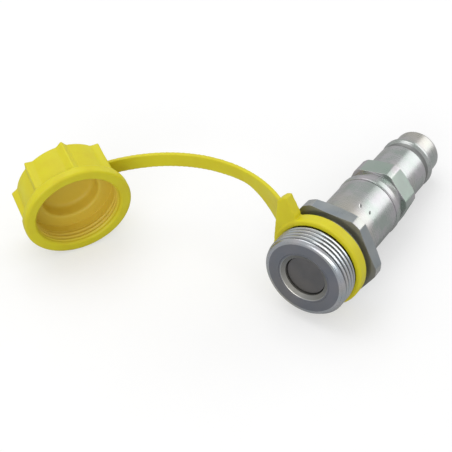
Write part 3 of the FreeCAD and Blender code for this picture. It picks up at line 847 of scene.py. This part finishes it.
@dataclass
class Strap(DressedPiece):
    """Band round the relief, lug and strap, moulded as one with the cap.

    Attributes:
        strap_up: Height of the strap's middle at the lug.
        flare: Width that the strap gains at the bottom over flare_share of its length.
        bend: Radius of the strap's bend.
        lap: Length by which the strap runs into the cap and the lug.
        root_turn: Angle of the root round the cap, in degrees.
        voxel: Grain of the skin that joins the three forms.
    """

    band_columns: ClassVar[int] = 128
    band_start: float = 10.1
    band_width: float = 5.4
    band_bore: float = 17.4
    band_radius: float = 19.9
    band_lift: float = 0.3
    band_shift: float = 0.1
    band_round: float = 0.9
    lug_thickness: float = 4.4
    lug_left: float = 20.0
    lug_low: float = 3.24
    strap_up: float = 18.0
    lug_shoulder: float = 22.0
    lug_peak_left: float = 16.6
    lug_peak: float = 25.3
    lug_foot_left: float = 11.2
    lug_foot: float = 18.0
    lug_steps: int = 6
    peak_left: float = 1.4
    peak_right: float = 0.6
    peak_drop: float = 1.0
    thickness: float = 1.7
    width: float = 6.6
    flare: float = 14.0
    flare_share: float = 0.3
    flare_power: float = 1.5
    bend: float = 61.5
    lap: float = 1.6
    root_depth: float = 16.0
    root_turn: float = 10.0
    steps: int = 120
    voxel: float = 0.32
    soften_share: float = 0.5
    soften_rounds: int = 5

    def band(self, place: Matrix) -> bpy.types.Object:
        """Build the ring round the relief.

        Args:
            place: Placement of the lifted band in the row's frame.

        Returns:
            The ring in the row's frame.
        """
        stop = self.band_start + self.band_width
        corners = [
            Corner(self.band_start, self.band_bore, 0.3),
            Corner(self.band_start, self.band_radius, self.band_round),
            Corner(stop, self.band_radius, self.band_round),
            Corner(stop, self.band_bore, 0.3),
        ]
        ring = turn("band_rough", lambda angle: corners, self.band_columns)
        ring.data.transform(place)
        return ring

    def lug_inside(self) -> list[tuple[float, float]]:
        """Draw the lug's lower edge, which runs inside the ring's wall.

        Returns:
            Corners as (across, up) from the axis.
        """
        radius = 0.5 * (self.band_bore + self.band_radius)
        first = math.asin(self.lug_low / radius)
        last = math.acos(self.lug_foot_left / radius)
        turns = [first + (last - first) * step / self.lug_steps
                 for step in range(self.lug_steps + 1)]
        return [(-radius * math.cos(turned), radius * math.sin(turned)) for turned in turns]

    def lug(self, place: Matrix) -> bpy.types.Object:
        """Build the tab on the ring that the strap's end grows from.

        Args:
            place: Placement of the lifted band in the row's frame.

        Returns:
            The tab in the row's frame.
        """
        middle = self.band_start + self.band_width / 2.0
        corners = [
            (-self.lug_left, self.lug_low), *self.lug_inside(),
            (-self.lug_foot_left, self.lug_foot),
            (-self.lug_peak_left + self.peak_right, self.lug_peak),
            (-self.lug_peak_left - self.peak_left, self.lug_peak - self.peak_drop),
            (-self.lug_left, self.lug_shoulder),
        ]
        half = self.lug_thickness / 2.0
        vertices = [place @ (Vector((across, middle + side, up)) * MM)
                    for side in (-half, half) for across, up in corners]
        count = len(corners)
        faces = [tuple(range(count)), tuple(reversed(range(count, 2 * count)))]
        faces += [(near, (near + 1) % count, count + (near + 1) % count, count + near)
                  for near in range(count)]
        return mesh_object("lug_rough", vertices, faces)

    def ribbon(self, start: Vector, stop: Vector) -> bpy.types.Object:
        """Strap bent on edge between two points, in the row's frame.

        Args:
            start: End at the cap, in metres.
            stop: End at the lug, in metres.

        Returns:
            The strap's mesh object.
        """
        chord = stop - start
        along = chord.normalized()
        outward = Vector((0.0, 0.0, 1.0)).cross(along).normalized()
        bend = self.bend * MM
        centre = start + chord * 0.5 - outward * math.sqrt(bend ** 2 - (chord.length / 2.0) ** 2)
        first = (start - centre).normalized()
        across = first.cross(stop - centre).normalized()
        side = across.cross(first)
        sweep = (start - centre).angle(stop - centre)
        half, tall = self.thickness / 2.0 * MM, self.width / 2.0 * MM
        section = [(-half, -1.0), (half, -1.0), (half, 1.0), (-half, 1.0)]
        vertices, faces = [], []
        for step in range(self.steps + 1):
            near_lug = max(step / self.steps - 1.0 + self.flare_share, 0.0) / self.flare_share
            low = tall + self.flare * MM * near_lug ** self.flare_power
            angle = sweep * step / self.steps
            radial = first * math.cos(angle) + side * math.sin(angle)
            vertices += [centre + radial * (bend + out) + across * (low if down > 0.0 else -tall)
                         for out, down in section]
        count = len(section)
        for step in range(self.steps):
            for edge in range(count):
                after = (edge + 1) % count
                near, far = step * count, (step + 1) * count
                faces.append((near + edge, near + after, far + after, far + edge))
        last = self.steps * count
        faces += [(3, 2, 1, 0), (last, last + 1, last + 2, last + 3)]
        return mesh_object("strap_rough", vertices, faces)

    def build(self, name: str, place: AdapterPlace, cap: ScrewCap) -> bpy.types.Object:
        """Build the band, lug and strap as one soft form.

        Args:
            name: Name of the piece.
            place: Where the adapter lies.
            cap: The cap that the strap grows from.

        Returns:
            The mesh object in the row's frame.
        """
        shift = Vector((-self.band_shift, 0.0, self.band_lift)) * MM
        lifted = place.matrix() @ Matrix.Translation(shift)
        angle = math.radians(self.root_turn)
        root = cap.wall_radius - self.lap
        start = cap.matrix(place) @ (
            Vector((root * math.cos(angle), self.root_depth, root * math.sin(angle))) * MM)
        middle = self.band_start + self.band_width / 2.0
        stop = lifted @ (Vector((self.lap - self.lug_left, middle, self.strap_up)) * MM)
        rough = [self.band(lifted), self.lug(lifted), self.ribbon(start, stop)]
        joined = bpy.data.meshes.new(name)
        work = bmesh.new()
        for part in rough:
            work.from_mesh(part.data)
            bpy.data.objects.remove(part)
        work.to_mesh(joined)
        work.free()
        piece = link_object(name, joined)
        remesh = piece.modifiers.new("skin", "REMESH")
        remesh.mode = "VOXEL"
        remesh.voxel_size = self.voxel * MM
        soften = piece.modifiers.new("soften", "SMOOTH")
        soften.factor = self.soften_share
        soften.iterations = self.soften_rounds
        bake_modifiers(piece)
        piece.data.shade_smooth()
        return piece


class NodeDesk:
    """Short hand for wiring the nodes of one material or world."""

    def __init__(self, tree: bpy.types.NodeTree) -> None:
        """Clear a node tree and keep it."""
        self.tree = tree
        tree.nodes.clear()

    def add(self, kind: str, settings: dict | None = None, **inputs: object) -> bpy.types.Node:
        """Add a node, set its properties and fill or link its inputs.

        Args:
            kind: Blender's type name of the node.
            settings: Properties to set on the node.
            **inputs: Input names, with underscores for spaces, and their value or source socket;
                in_0, in_1 and so on name an input by its number.

        Returns:
            The new node.
        """
        node = self.tree.nodes.new(kind)
        for key, setting in (settings or {}).items():
            setattr(node, key, setting)
        for key, source in inputs.items():
            numbered = key.startswith("in_")
            socket = node.inputs[int(key[3:]) if numbered else key.replace("_", " ")]
            if isinstance(source, bpy.types.NodeSocket):
                self.tree.links.new(source, socket)
            else:
                socket.default_value = source
        return node

    def math(self, operation: str, first: object, second: object = 0.0) -> bpy.types.NodeSocket:
        """Add a math node of two inputs and give its output."""
        node = self.add("ShaderNodeMath", {"operation": operation}, in_0=first, in_1=second)
        return node.outputs[0]

    def noise(self, vector: bpy.types.NodeSocket, scale: float,
              detail: float = 3.0) -> bpy.types.NodeSocket:
        """Add a noise texture and give its grey output."""
        node = self.add("ShaderNodeTexNoise", Vector=vector, Scale=scale, Detail=detail)
        return node.outputs["Fac"]

    def spread(self, value: bpy.types.NodeSocket, low: float, high: float,
               to_low: float, to_high: float) -> bpy.types.NodeSocket:
        """Map a value from one range to another, and clamp it there.

        Args:
            value: The value's socket.
            low: Value that gives to_low.
            high: Value that gives to_high.
            to_low: Result at the low end.
            to_high: Result at the high end.

        Returns:
            The result's socket.
        """
        node = self.add("ShaderNodeMapRange", Value=value)
        names = ("From Min", "From Max", "To Min", "To Max")
        for name, number in zip(names, (low, high, to_low, to_high)):
            node.inputs[name].default_value = number
        return node.outputs["Result"]

    def mix_colour(self, share: object, first: object, second: object) -> bpy.types.NodeSocket:
        """Mix two colours by a share and give the output."""
        node = self.add("ShaderNodeMix", {"data_type": "RGBA"}, in_0=share, in_6=first, in_7=second)
        return node.outputs[2]

    def round_axis(self, home: Matrix) -> tuple[bpy.types.NodeSocket, ...]:
        """Give the place on a turned piece.

        Args:
            home: Placement of the piece's own frame in the row's frame.

        Returns:
            The plain place, its distance from the axis and its station along it, in metres.
        """
        coordinates = self.add("ShaderNodeTexCoord").outputs["Object"]
        place = self.add("ShaderNodeMapping", {"vector_type": "TEXTURE"}, Vector=coordinates,
                         Location=home.to_translation(), Rotation=home.to_euler()).outputs["Vector"]
        split = self.add("ShaderNodeSeparateXYZ", Vector=place)
        square = self.math("ADD", self.math("MULTIPLY", split.outputs["X"], split.outputs["X"]),
                           self.math("MULTIPLY", split.outputs["Z"], split.outputs["Z"]))
        return place, self.math("SQRT", square), split.outputs["Y"]

    def surface(self, height: bpy.types.NodeSocket, strength: float, depth: float,
                **inputs: object) -> None:
        """Add a shaded surface with a fine bump and wire it to the material's output.

        Args:
            height: Height of the bump at a place, from 0 to 1.
            strength: How much of the bump shows.
            depth: Height in metres that 1 stands for.
            **inputs: Inputs of the shader, as for add().
        """
        bump = self.add("ShaderNodeBump", Height=height, Strength=strength, Distance=depth)
        self.finish(self.add("ShaderNodeBsdfPrincipled", Normal=bump.outputs["Normal"], **inputs))

    def finish(self, shader: bpy.types.Node) -> None:
        """Wire a surface shader to the material's output."""
        self.add("ShaderNodeOutputMaterial", Surface=shader.outputs[0])


def new_material(name: str) -> tuple[bpy.types.Material, NodeDesk]:
    """Make an empty node material.

    Args:
        name: Name of the material.

    Returns:
        The material and the desk that wires it.
    """
    material = bpy.data.materials.new(name)
    material.use_nodes = True
    return material, NodeDesk(material.node_tree)


Colour = tuple[float, float, float, float]
Span = tuple[float, float]
# Painted shade for the roots of a thread, which its colour darkens towards.
ROOT_PAINTED_SHADE: Colour = (0.07, 0.072, 0.08, 1.0)
# Stretches of a noise's output over which a soft or a firmer change runs.
SOFT: Span = (0.3, 0.7)
FIRM: Span = (0.35, 0.65)


@dataclass(frozen=True)
class PlatedSteel:
    """Zinc-plated turned steel, faintly blue and green where the passivation is thicker.

    Attributes:
        base: Plain colour of the plating.
        cool: Colour of the thicker patches.
        warm: Colour of the thinner patches.
        roughness: Middle of the gloss range.
        ring_depth: Strength of the turning marks.
        ring_scale: Turning marks for each metre across them.
        root: Distance from the axis, in metres, below which painted shade darkens a thread
            towards its roots, or 0 where there is no thread.
        crest: Distance from the axis, in metres, above which a thread keeps its own colour.
        drift: How far the turning marks wander.
        cloud_blend: Stretch of the clouds' noise over which the warm colour comes in.
        cloud_share: Largest share of the warm colour.
        worn_gloss: Roughness that the patches take away or add.
        ring_gloss: Roughness that the turning marks take away or add.
        speck_share: Height of the specks against the turning marks.
    """

    name: str
    base: Colour = (0.54, 0.52, 0.545, 1.0)
    cool: Colour = (0.42, 0.47, 0.44, 1.0)
    warm: Colour = (0.54, 0.52, 0.46, 1.0)
    roughness: float = 0.26
    ring_depth: float = 0.07
    ring_scale: float = 5200.0
    root: float = 0.0
    crest: float = 0.0
    drift: float = 0.02
    patch_scale: float = 130.0
    cloud_scale: float = 48.0
    speck_scale: float = 1900.0
    bump_depth: float = 0.00005
    cloud_blend: Span = (0.45, 0.7)
    cloud_share: float = 0.8
    worn_gloss: Span = (-0.06, 0.08)
    ring_gloss: Span = (-0.04, 0.05)
    speck_share: float = 0.5

    def material(self, home: Matrix) -> bpy.types.Material:
        """Build the material for pieces of one frame.

        Args:
            home: Placement of the pieces' own frame in the row's frame.

        Returns:
            The material.
        """
        material, desk = new_material(self.name)
        place, radius, station = desk.round_axis(home)
        across = desk.math("ADD", radius, station)
        slow = desk.add("ShaderNodeVectorMath", {"operation": "SCALE"}, in_0=place,
                        Scale=self.drift)
        ring_place = desk.add("ShaderNodeCombineXYZ", X=across)
        wavy = desk.add("ShaderNodeVectorMath", {"operation": "ADD"}, in_0=ring_place.outputs[0],
                        in_1=slow.outputs[0])
        rings = desk.noise(wavy.outputs[0], self.ring_scale, 2.0)
        patches = desk.noise(place, self.patch_scale, 4.0)
        clouds = desk.noise(place, self.cloud_scale, 2.0)
        specks = desk.noise(place, self.speck_scale, 2.0)
        tint = desk.mix_colour(desk.spread(patches, *FIRM, 0.0, 1.0), self.cool, self.base)
        warmth = desk.spread(clouds, *self.cloud_blend, 0.0, self.cloud_share)
        colour = desk.mix_colour(warmth, tint, self.warm)
        # Painted shade: the thread's colour darkens from the crest down to the roots.
        if self.root > 0.0:
            colour = desk.mix_colour(desk.spread(radius, self.root, self.crest, 0.0, 1.0),
                                     ROOT_PAINTED_SHADE, colour)
        less, more = self.worn_gloss
        worn = desk.spread(patches, *SOFT, self.roughness + less, self.roughness + more)
        gloss = desk.math("ADD", worn, desk.spread(rings, *SOFT, *self.ring_gloss))
        height = desk.math("ADD", rings, desk.math("MULTIPLY", specks, self.speck_share))
        desk.surface(height, self.ring_depth, self.bump_depth, Base_Color=colour, Roughness=gloss,
                     Metallic=1.0)
        return material


@dataclass(frozen=True)
class SoftPlastic:
    """Soft moulded plastic, with a deeper colour painted inside a cap's mouth as shade.

    Attributes:
        bright: Colour of the plastic.
        deep: Colour of its faint clouds.
        inside: Colour painted inside the cap as shade, or None where the piece has no inside.
        mouth_blend: Stations, in metres, between which it starts; end_blend is where it ends.
        wall_blend: Distances from the axis, in metres, between which it ends.
    """

    name: str
    bright: Colour = (0.69, 0.63, 0.018, 1.0)
    deep: Colour = (0.64, 0.53, 0.018, 1.0)
    inside: Colour | None = None
    roughness: float = 0.42
    mouth_blend: Span = (0.0002, 0.0036)
    wall_blend: Span = (0.0186, 0.0194)
    end_blend: Span = (0.0175, 0.019)
    glint: float = 0.34
    grain_strength: float = 0.08
    bump_depth: float = 0.00006
    soak_share: float = 0.12
    soak: float = 0.0015
    soak_colour: tuple[float, float, float] = (1.0, 0.7, 0.1)
    cloud_scale: float = 95.0
    cloud_blend: Span = (0.4, 0.7)
    cloud_share: float = 0.6
    grain_scale: float = 1500.0
    cloud_gloss: Span = (-0.04, 0.06)

    def material(self, home: Matrix) -> bpy.types.Material:
        """Build the material for pieces of one frame.

        Args:
            home: Placement of the pieces' own frame in the row's frame.

        Returns:
            The material.
        """
        material, desk = new_material(self.name)
        place, radius, station = desk.round_axis(home)
        clouds = desk.noise(place, self.cloud_scale)
        grain = desk.noise(place, self.grain_scale)
        depth = desk.spread(clouds, *self.cloud_blend, 0.0, self.cloud_share)
        colour = desk.mix_colour(depth, self.bright, self.deep)
        # Painted shade: a deeper colour inside the cap's bore, past the mouth and short of the
        # closed end.
        if self.inside is not None:
            deep_in = desk.spread(station, *self.mouth_blend, 0.0, 1.0)
            within = desk.math("MULTIPLY", deep_in, desk.spread(radius, *self.wall_blend, 1.0, 0.0))
            closed = desk.math("MULTIPLY", within, desk.spread(station, *self.end_blend, 1.0, 0.0))
            colour = desk.mix_colour(closed, colour, self.inside)
        less, more = self.cloud_gloss
        gloss = desk.spread(clouds, *SOFT, self.roughness + less, self.roughness + more)
        desk.surface(grain, self.grain_strength, self.bump_depth, Base_Color=colour,
                     Roughness=gloss, Subsurface_Weight=self.soak_share,
                     Subsurface_Radius=self.soak_colour, Subsurface_Scale=self.soak,
                     Specular_IOR_Level=self.glint)
        return material


@dataclass(frozen=True)
class PlainStuff:
    """A simple finish for the pieces inside: rubber, backup plastic, wire and drilled discs."""

    name: str
    dark: Colour
    light: Colour
    roughness: float
    metallic: float = 0.0
    scale: float = 900.0
    grain_strength: float = 0.06
    bump_depth: float = 0.00005
    grain_gloss: float = 0.05

    def material(self, home: Matrix) -> bpy.types.Material:
        """Build the material for pieces of one frame.

        Args:
            home: Placement of the pieces' own frame in the row's frame.

        Returns:
            The material.
        """
        material, desk = new_material(self.name)
        place, _, _ = desk.round_axis(home)
        grain = desk.noise(place, self.scale)
        colour = desk.mix_colour(desk.spread(grain, *FIRM, 0.0, 1.0), self.dark, self.light)
        gloss = desk.spread(grain, *SOFT, self.roughness - self.grain_gloss,
                            self.roughness + self.grain_gloss)
        desk.surface(grain, self.grain_strength, self.bump_depth, Base_Color=colour,
                     Roughness=gloss, Metallic=self.metallic)
        return material


@dataclass(frozen=True)
class PaleFloor:
    """Plain white table, brightened to the eye, that keeps the shadow."""

    name: str = "pale_table"
    colour: Colour = (0.52, 0.52, 0.52, 1.0)
    glow: float = 0.47
    half_width: float = 3.0
    roughness: float = 0.9
    grain_scale: float = 40.0
    grain_shade: float = 0.99

    def build(self) -> bpy.types.Object:
        """Build the floor with its material.

        Returns:
            The floor.
        """
        half = self.half_width
        corners = [Vector((-half, -half, 0.0)), Vector((half, -half, 0.0)),
                   Vector((half, half, 0.0)), Vector((-half, half, 0.0))]
        floor = mesh_object("floor", corners, [(0, 1, 2, 3)])
        material, desk = new_material(self.name)
        path = desk.add("ShaderNodeLightPath")
        seen = desk.math("MAXIMUM", path.outputs["Is Camera Ray"],
                         path.outputs["Is Transmission Ray"])
        place = desk.add("ShaderNodeTexCoord").outputs["Object"]
        grain = desk.noise(place, self.grain_scale, 2.0)
        shaded = tuple(channel * self.grain_shade for channel in self.colour[:3]) + (1.0,)
        tone = desk.mix_colour(desk.spread(grain, *SOFT, 0.0, 1.0), self.colour, shaded)
        table = desk.add("ShaderNodeBsdfPrincipled", Base_Color=tone, Roughness=self.roughness,
                         Specular_IOR_Level=0.0)
        light = desk.add("ShaderNodeEmission", Color=(1.0, 1.0, 1.0, 1.0),
                         Strength=desk.math("MULTIPLY", seen, self.glow))
        desk.finish(desk.add("ShaderNodeAddShader", in_0=table.outputs[0], in_1=light.outputs[0]))
        floor.data.materials.append(material)
        return floor


@dataclass
class Lamp:
    """A soft panel lamp that looks at a point of the table.

    Attributes:
        place: Where it stands, in metres.
        aim: The point that it faces, in metres.
        width: Width in metres.
        height: Height in metres.
        power: Power in watts.
    """

    name: str
    place: tuple[float, float, float]
    aim: tuple[float, float, float]
    width: float
    height: float
    power: float

    def build(self) -> bpy.types.Object:
        """Build the lamp and turn it to its aim.

        Returns:
            The lamp.
        """
        light = bpy.data.lights.new(self.name, "AREA")
        light.shape = "RECTANGLE"
        light.size = self.width
        light.size_y = self.height
        light.energy = self.power
        lamp = link_object(self.name, light)
        lamp.location = self.place
        facing = Vector(self.aim) - Vector(self.place)
        lamp.rotation_euler = facing.to_track_quat("-Z", "Y").to_euler()
        return lamp


@dataclass
class Studio:
    """Table, world and lamps."""

    sky: Colour = (0.90, 0.90, 0.90, 1.0)
    sky_strength: float = 0.74
    lamps: tuple[Lamp, ...] = (
        Lamp("high_panel", (-0.35, 0.10, 0.95), (0.0, 0.0, 0.0), 0.9, 0.7, 3.2),
        Lamp("back_panel", (0.48, 0.95, 0.46), (0.05, 0.0, 0.02), 0.95, 0.55, 2.3),
        Lamp("front_panel", (0.25, -0.95, 0.40), (-0.04, 0.0, 0.02), 0.9, 0.5, 3.0),
    )

    def build(self) -> None:
        """Build the table, the world's light and the lamps."""
        PaleFloor().build()
        world = bpy.data.worlds.new("studio")
        world.use_nodes = True
        bpy.context.scene.world = world
        desk = NodeDesk(world.node_tree)
        glow = desk.add("ShaderNodeBackground", Color=self.sky, Strength=self.sky_strength)
        desk.add("ShaderNodeOutputWorld", Surface=glow.outputs[0])
        for lamp in self.lamps:
            lamp.build()


@dataclass
class PhotoCamera:
    """Camera at the photograph's angle.

    Attributes:
        right: How far it stands to the right of the front face's middle.
        behind: How far it stands in front of the face, along the adapter's heading.
        height: Its height above the table.
        view: Direction that it looks in.
        up: Direction of the top of the picture.
        lens: Focal length for the sensor's width.
    """

    right: float = 143.94
    behind: float = -264.35
    height: float = 357.31
    view: tuple[float, float, float] = (-0.3943, 0.5806, -0.7123)
    up: tuple[float, float, float] = (-0.3711, 0.6085, 0.7014)
    lens: float = 91.59
    sensor: float = 36.0
    near: float = 0.01

    def build(self, place: AdapterPlace) -> None:
        """Build the camera and make it the scene's own.

        Args:
            place: Where the adapter lies.
        """
        data = bpy.data.cameras.new("photo_camera")
        data.lens = self.lens
        data.sensor_width = self.sensor
        data.clip_start = self.near
        camera = link_object("photo_camera", data)
        back = -Vector(self.view).normalized()
        side = Vector(self.up).cross(back).normalized()
        turned = Matrix((side, back.cross(side), back)).transposed()
        spot = Vector((place.face.x + self.right * MM, place.face.y + self.behind * MM,
                       self.height * MM))
        camera.matrix_world = Matrix.Translation(spot) @ turned.to_4x4()
        bpy.context.scene.camera = camera


@dataclass
class Finishes:
    """All finishes of the adapter."""

    turned: PlatedSteel = PlatedSteel("plated_turned")
    flats: PlatedSteel = PlatedSteel(
        "plated_flats", base=(0.39, 0.42, 0.44, 1.0), cool=(0.34, 0.38, 0.41, 1.0),
        warm=(0.41, 0.43, 0.41, 1.0), roughness=0.34, ring_depth=0.05)
    rear_flats: PlatedSteel = PlatedSteel(
        "plated_rear_flats", base=(0.42, 0.48, 0.44, 1.0), cool=(0.40, 0.49, 0.43, 1.0),
        warm=(0.45, 0.47, 0.43, 1.0), roughness=0.34, ring_depth=0.05)
    # Painted reflection: the flat faces' plating is darkened to stand for a dark table mirrored in
    # them.
    face: PlatedSteel = PlatedSteel(
        "plated_face_painted_reflection", base=(0.26, 0.265, 0.30, 1.0), cool=(0.23, 0.25, 0.29, 1.0),
        warm=(0.27, 0.265, 0.27, 1.0), roughness=0.36)
    thread: PlatedSteel = PlatedSteel(
        "plated_thread", base=(0.62, 0.62, 0.64, 1.0), cool=(0.52, 0.57, 0.60, 1.0),
        ring_depth=0.06, roughness=0.22, root=0.0169, crest=0.0177)
    # Painted shade: the plating of the hexagon's front face, the seat ring's bore and the ball
    # groove is darkened.
    side: PlatedSteel = PlatedSteel(
        "plated_side_painted_shade", base=(0.30, 0.30, 0.29, 1.0), cool=(0.26, 0.27, 0.27, 1.0),
        warm=(0.31, 0.30, 0.27, 1.0), roughness=0.55, ring_depth=0.05)
    edge: PlatedSteel = PlatedSteel(
        "plated_edge", base=(0.55, 0.55, 0.60, 1.0), cool=(0.46, 0.515, 0.555, 1.0),
        ring_depth=0.05, roughness=0.24)
    nick: PlainStuff = PlainStuff(
        "nick_steel", (0.11, 0.11, 0.12, 1.0), (0.2, 0.2, 0.2, 1.0), 0.5, 1.0)
    valve: PlatedSteel = PlatedSteel(
        "turned_valve", base=(0.2, 0.195, 0.2, 1.0), cool=(0.17, 0.17, 0.175, 1.0),
        warm=(0.205, 0.195, 0.185, 1.0), roughness=0.40, ring_depth=0.2, ring_scale=3400.0)
    # The cap's inside colour is painted shade.
    cap: SoftPlastic = SoftPlastic("cap_plastic", inside=(0.74, 0.56, 0.07, 1.0))
    strap: SoftPlastic = SoftPlastic("strap_plastic")
    rubber: PlainStuff = PlainStuff(
        "seal_rubber", (0.012, 0.012, 0.012, 1.0), (0.03, 0.03, 0.03, 1.0), 0.5)
    backup: PlainStuff = PlainStuff(
        "backup_plastic", (0.80, 0.79, 0.74, 1.0), (0.88, 0.87, 0.83, 1.0), 0.4)
    wire: PlainStuff = PlainStuff(
        "spring_wire", (0.28, 0.28, 0.29, 1.0), (0.38, 0.38, 0.39, 1.0), 0.3, 1.0)

    def steel(self, home: Matrix) -> list[bpy.types.Material]:
        """Materials of a plated body, in the order of the zones."""
        finishes = (self.turned, self.flats, self.face, self.thread, self.side, self.nick,
                    self.edge)
        return [finish.material(home) for finish in finishes]


def dress_inner_nodes(nodes: dict[str, bpy.types.Object], finishes: Finishes, home: Matrix) -> None:
    """Give the CAD nodes inside the bodies their finishes.

    Args:
        nodes: The frame's node objects by name.
        finishes: All finishes.
        home: Placement of the turned frame in the row's frame.
    """
    chosen = {
        finishes.rubber: ("front_bore_seal", "front_poppet_seal", "rear_poppet_seal", "joint_seal"),
        finishes.backup: ("joint_backup_ring",),
        finishes.wire: ("front_spring", "rear_spring", "front_guide_clip", "rear_guide_clip"),
        finishes.valve: ("front_valve_guide", "rear_valve_guide"),
    }
    for finish, names in chosen.items():
        material = finish.material(home)
        for name in names:
            nodes[name].data.materials.clear()
            nodes[name].data.materials.append(material)
            LOG.info("%s dressed", name)


def build_turned_pieces(finishes: Finishes, home: Matrix) -> None:
    """Build and dress the steel pieces.

    Args:
        finishes: All finishes.
        home: Placement of the turned frame in the row's frame.
    """
    steel = finishes.steel(home)
    rear_steel = [steel[0], finishes.rear_flats.material(home), *steel[2:]]
    valve_steel = [*steel[:2], finishes.valve.material(home), steel[3]]
    rows = [
        (FrontBody(), "front_body_plated", steel, "adapter", "plated_steel", "front_body"),
        (RearBody(), "rear_body_plated", rear_steel, "adapter", "plated_steel", "rear_body"),
        (SeatRing(), "seat_ring_plated", steel, "adapter", "plated_steel", "front_seat_ring"),
        (FRONT_POPPET, "front_poppet_turned", valve_steel, "front_valve", "valve_steel",
         "front_poppet"),
        (REAR_POPPET, "rear_poppet_turned", valve_steel, "rear_valve", "valve_steel",
         "rear_poppet"),
    ]
    for shape, name, materials, body, slot, node in rows:
        shape.dress(shape.build(name, home), materials, body, slot, node)


def build_dust_cap(finishes: Finishes, place: AdapterPlace) -> None:
    """Build and dress the screw cap and its strap.

    Args:
        finishes: All finishes.
        place: Where the adapter lies.
    """
    cap, strap = ScrewCap(), Strap()
    home = cap.matrix(place)
    cap.dress(cap.build("screw_cap", home), [finishes.cap.material(home)], "cap",
              "cap_plastic", "dust_cap")
    strap.dress(strap.build("cap_strap", place, cap), [finishes.strap.material(Matrix())], "cap",
                "cap_plastic", "dust_cap")


def main() -> None:
    """Build every piece in order, then the table, the light and the camera."""
    logging.basicConfig(level=logging.INFO, format="%(name)s: %(message)s")
    bpy.context.scene.view_settings.view_transform = "Standard"
    for item in list(bpy.data.objects):
        bpy.data.objects.remove(item)
    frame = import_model()
    place = AdapterPlace()
    place.read(frame["record"])
    finishes = Finishes()
    build_turned_pieces(finishes, place.matrix())
    build_dust_cap(finishes, place)
    dress_inner_nodes(frame["nodes"], finishes, place.matrix())

    Studio().build()
    PhotoCamera().build(place)


if __name__ == "__main__":
    main()
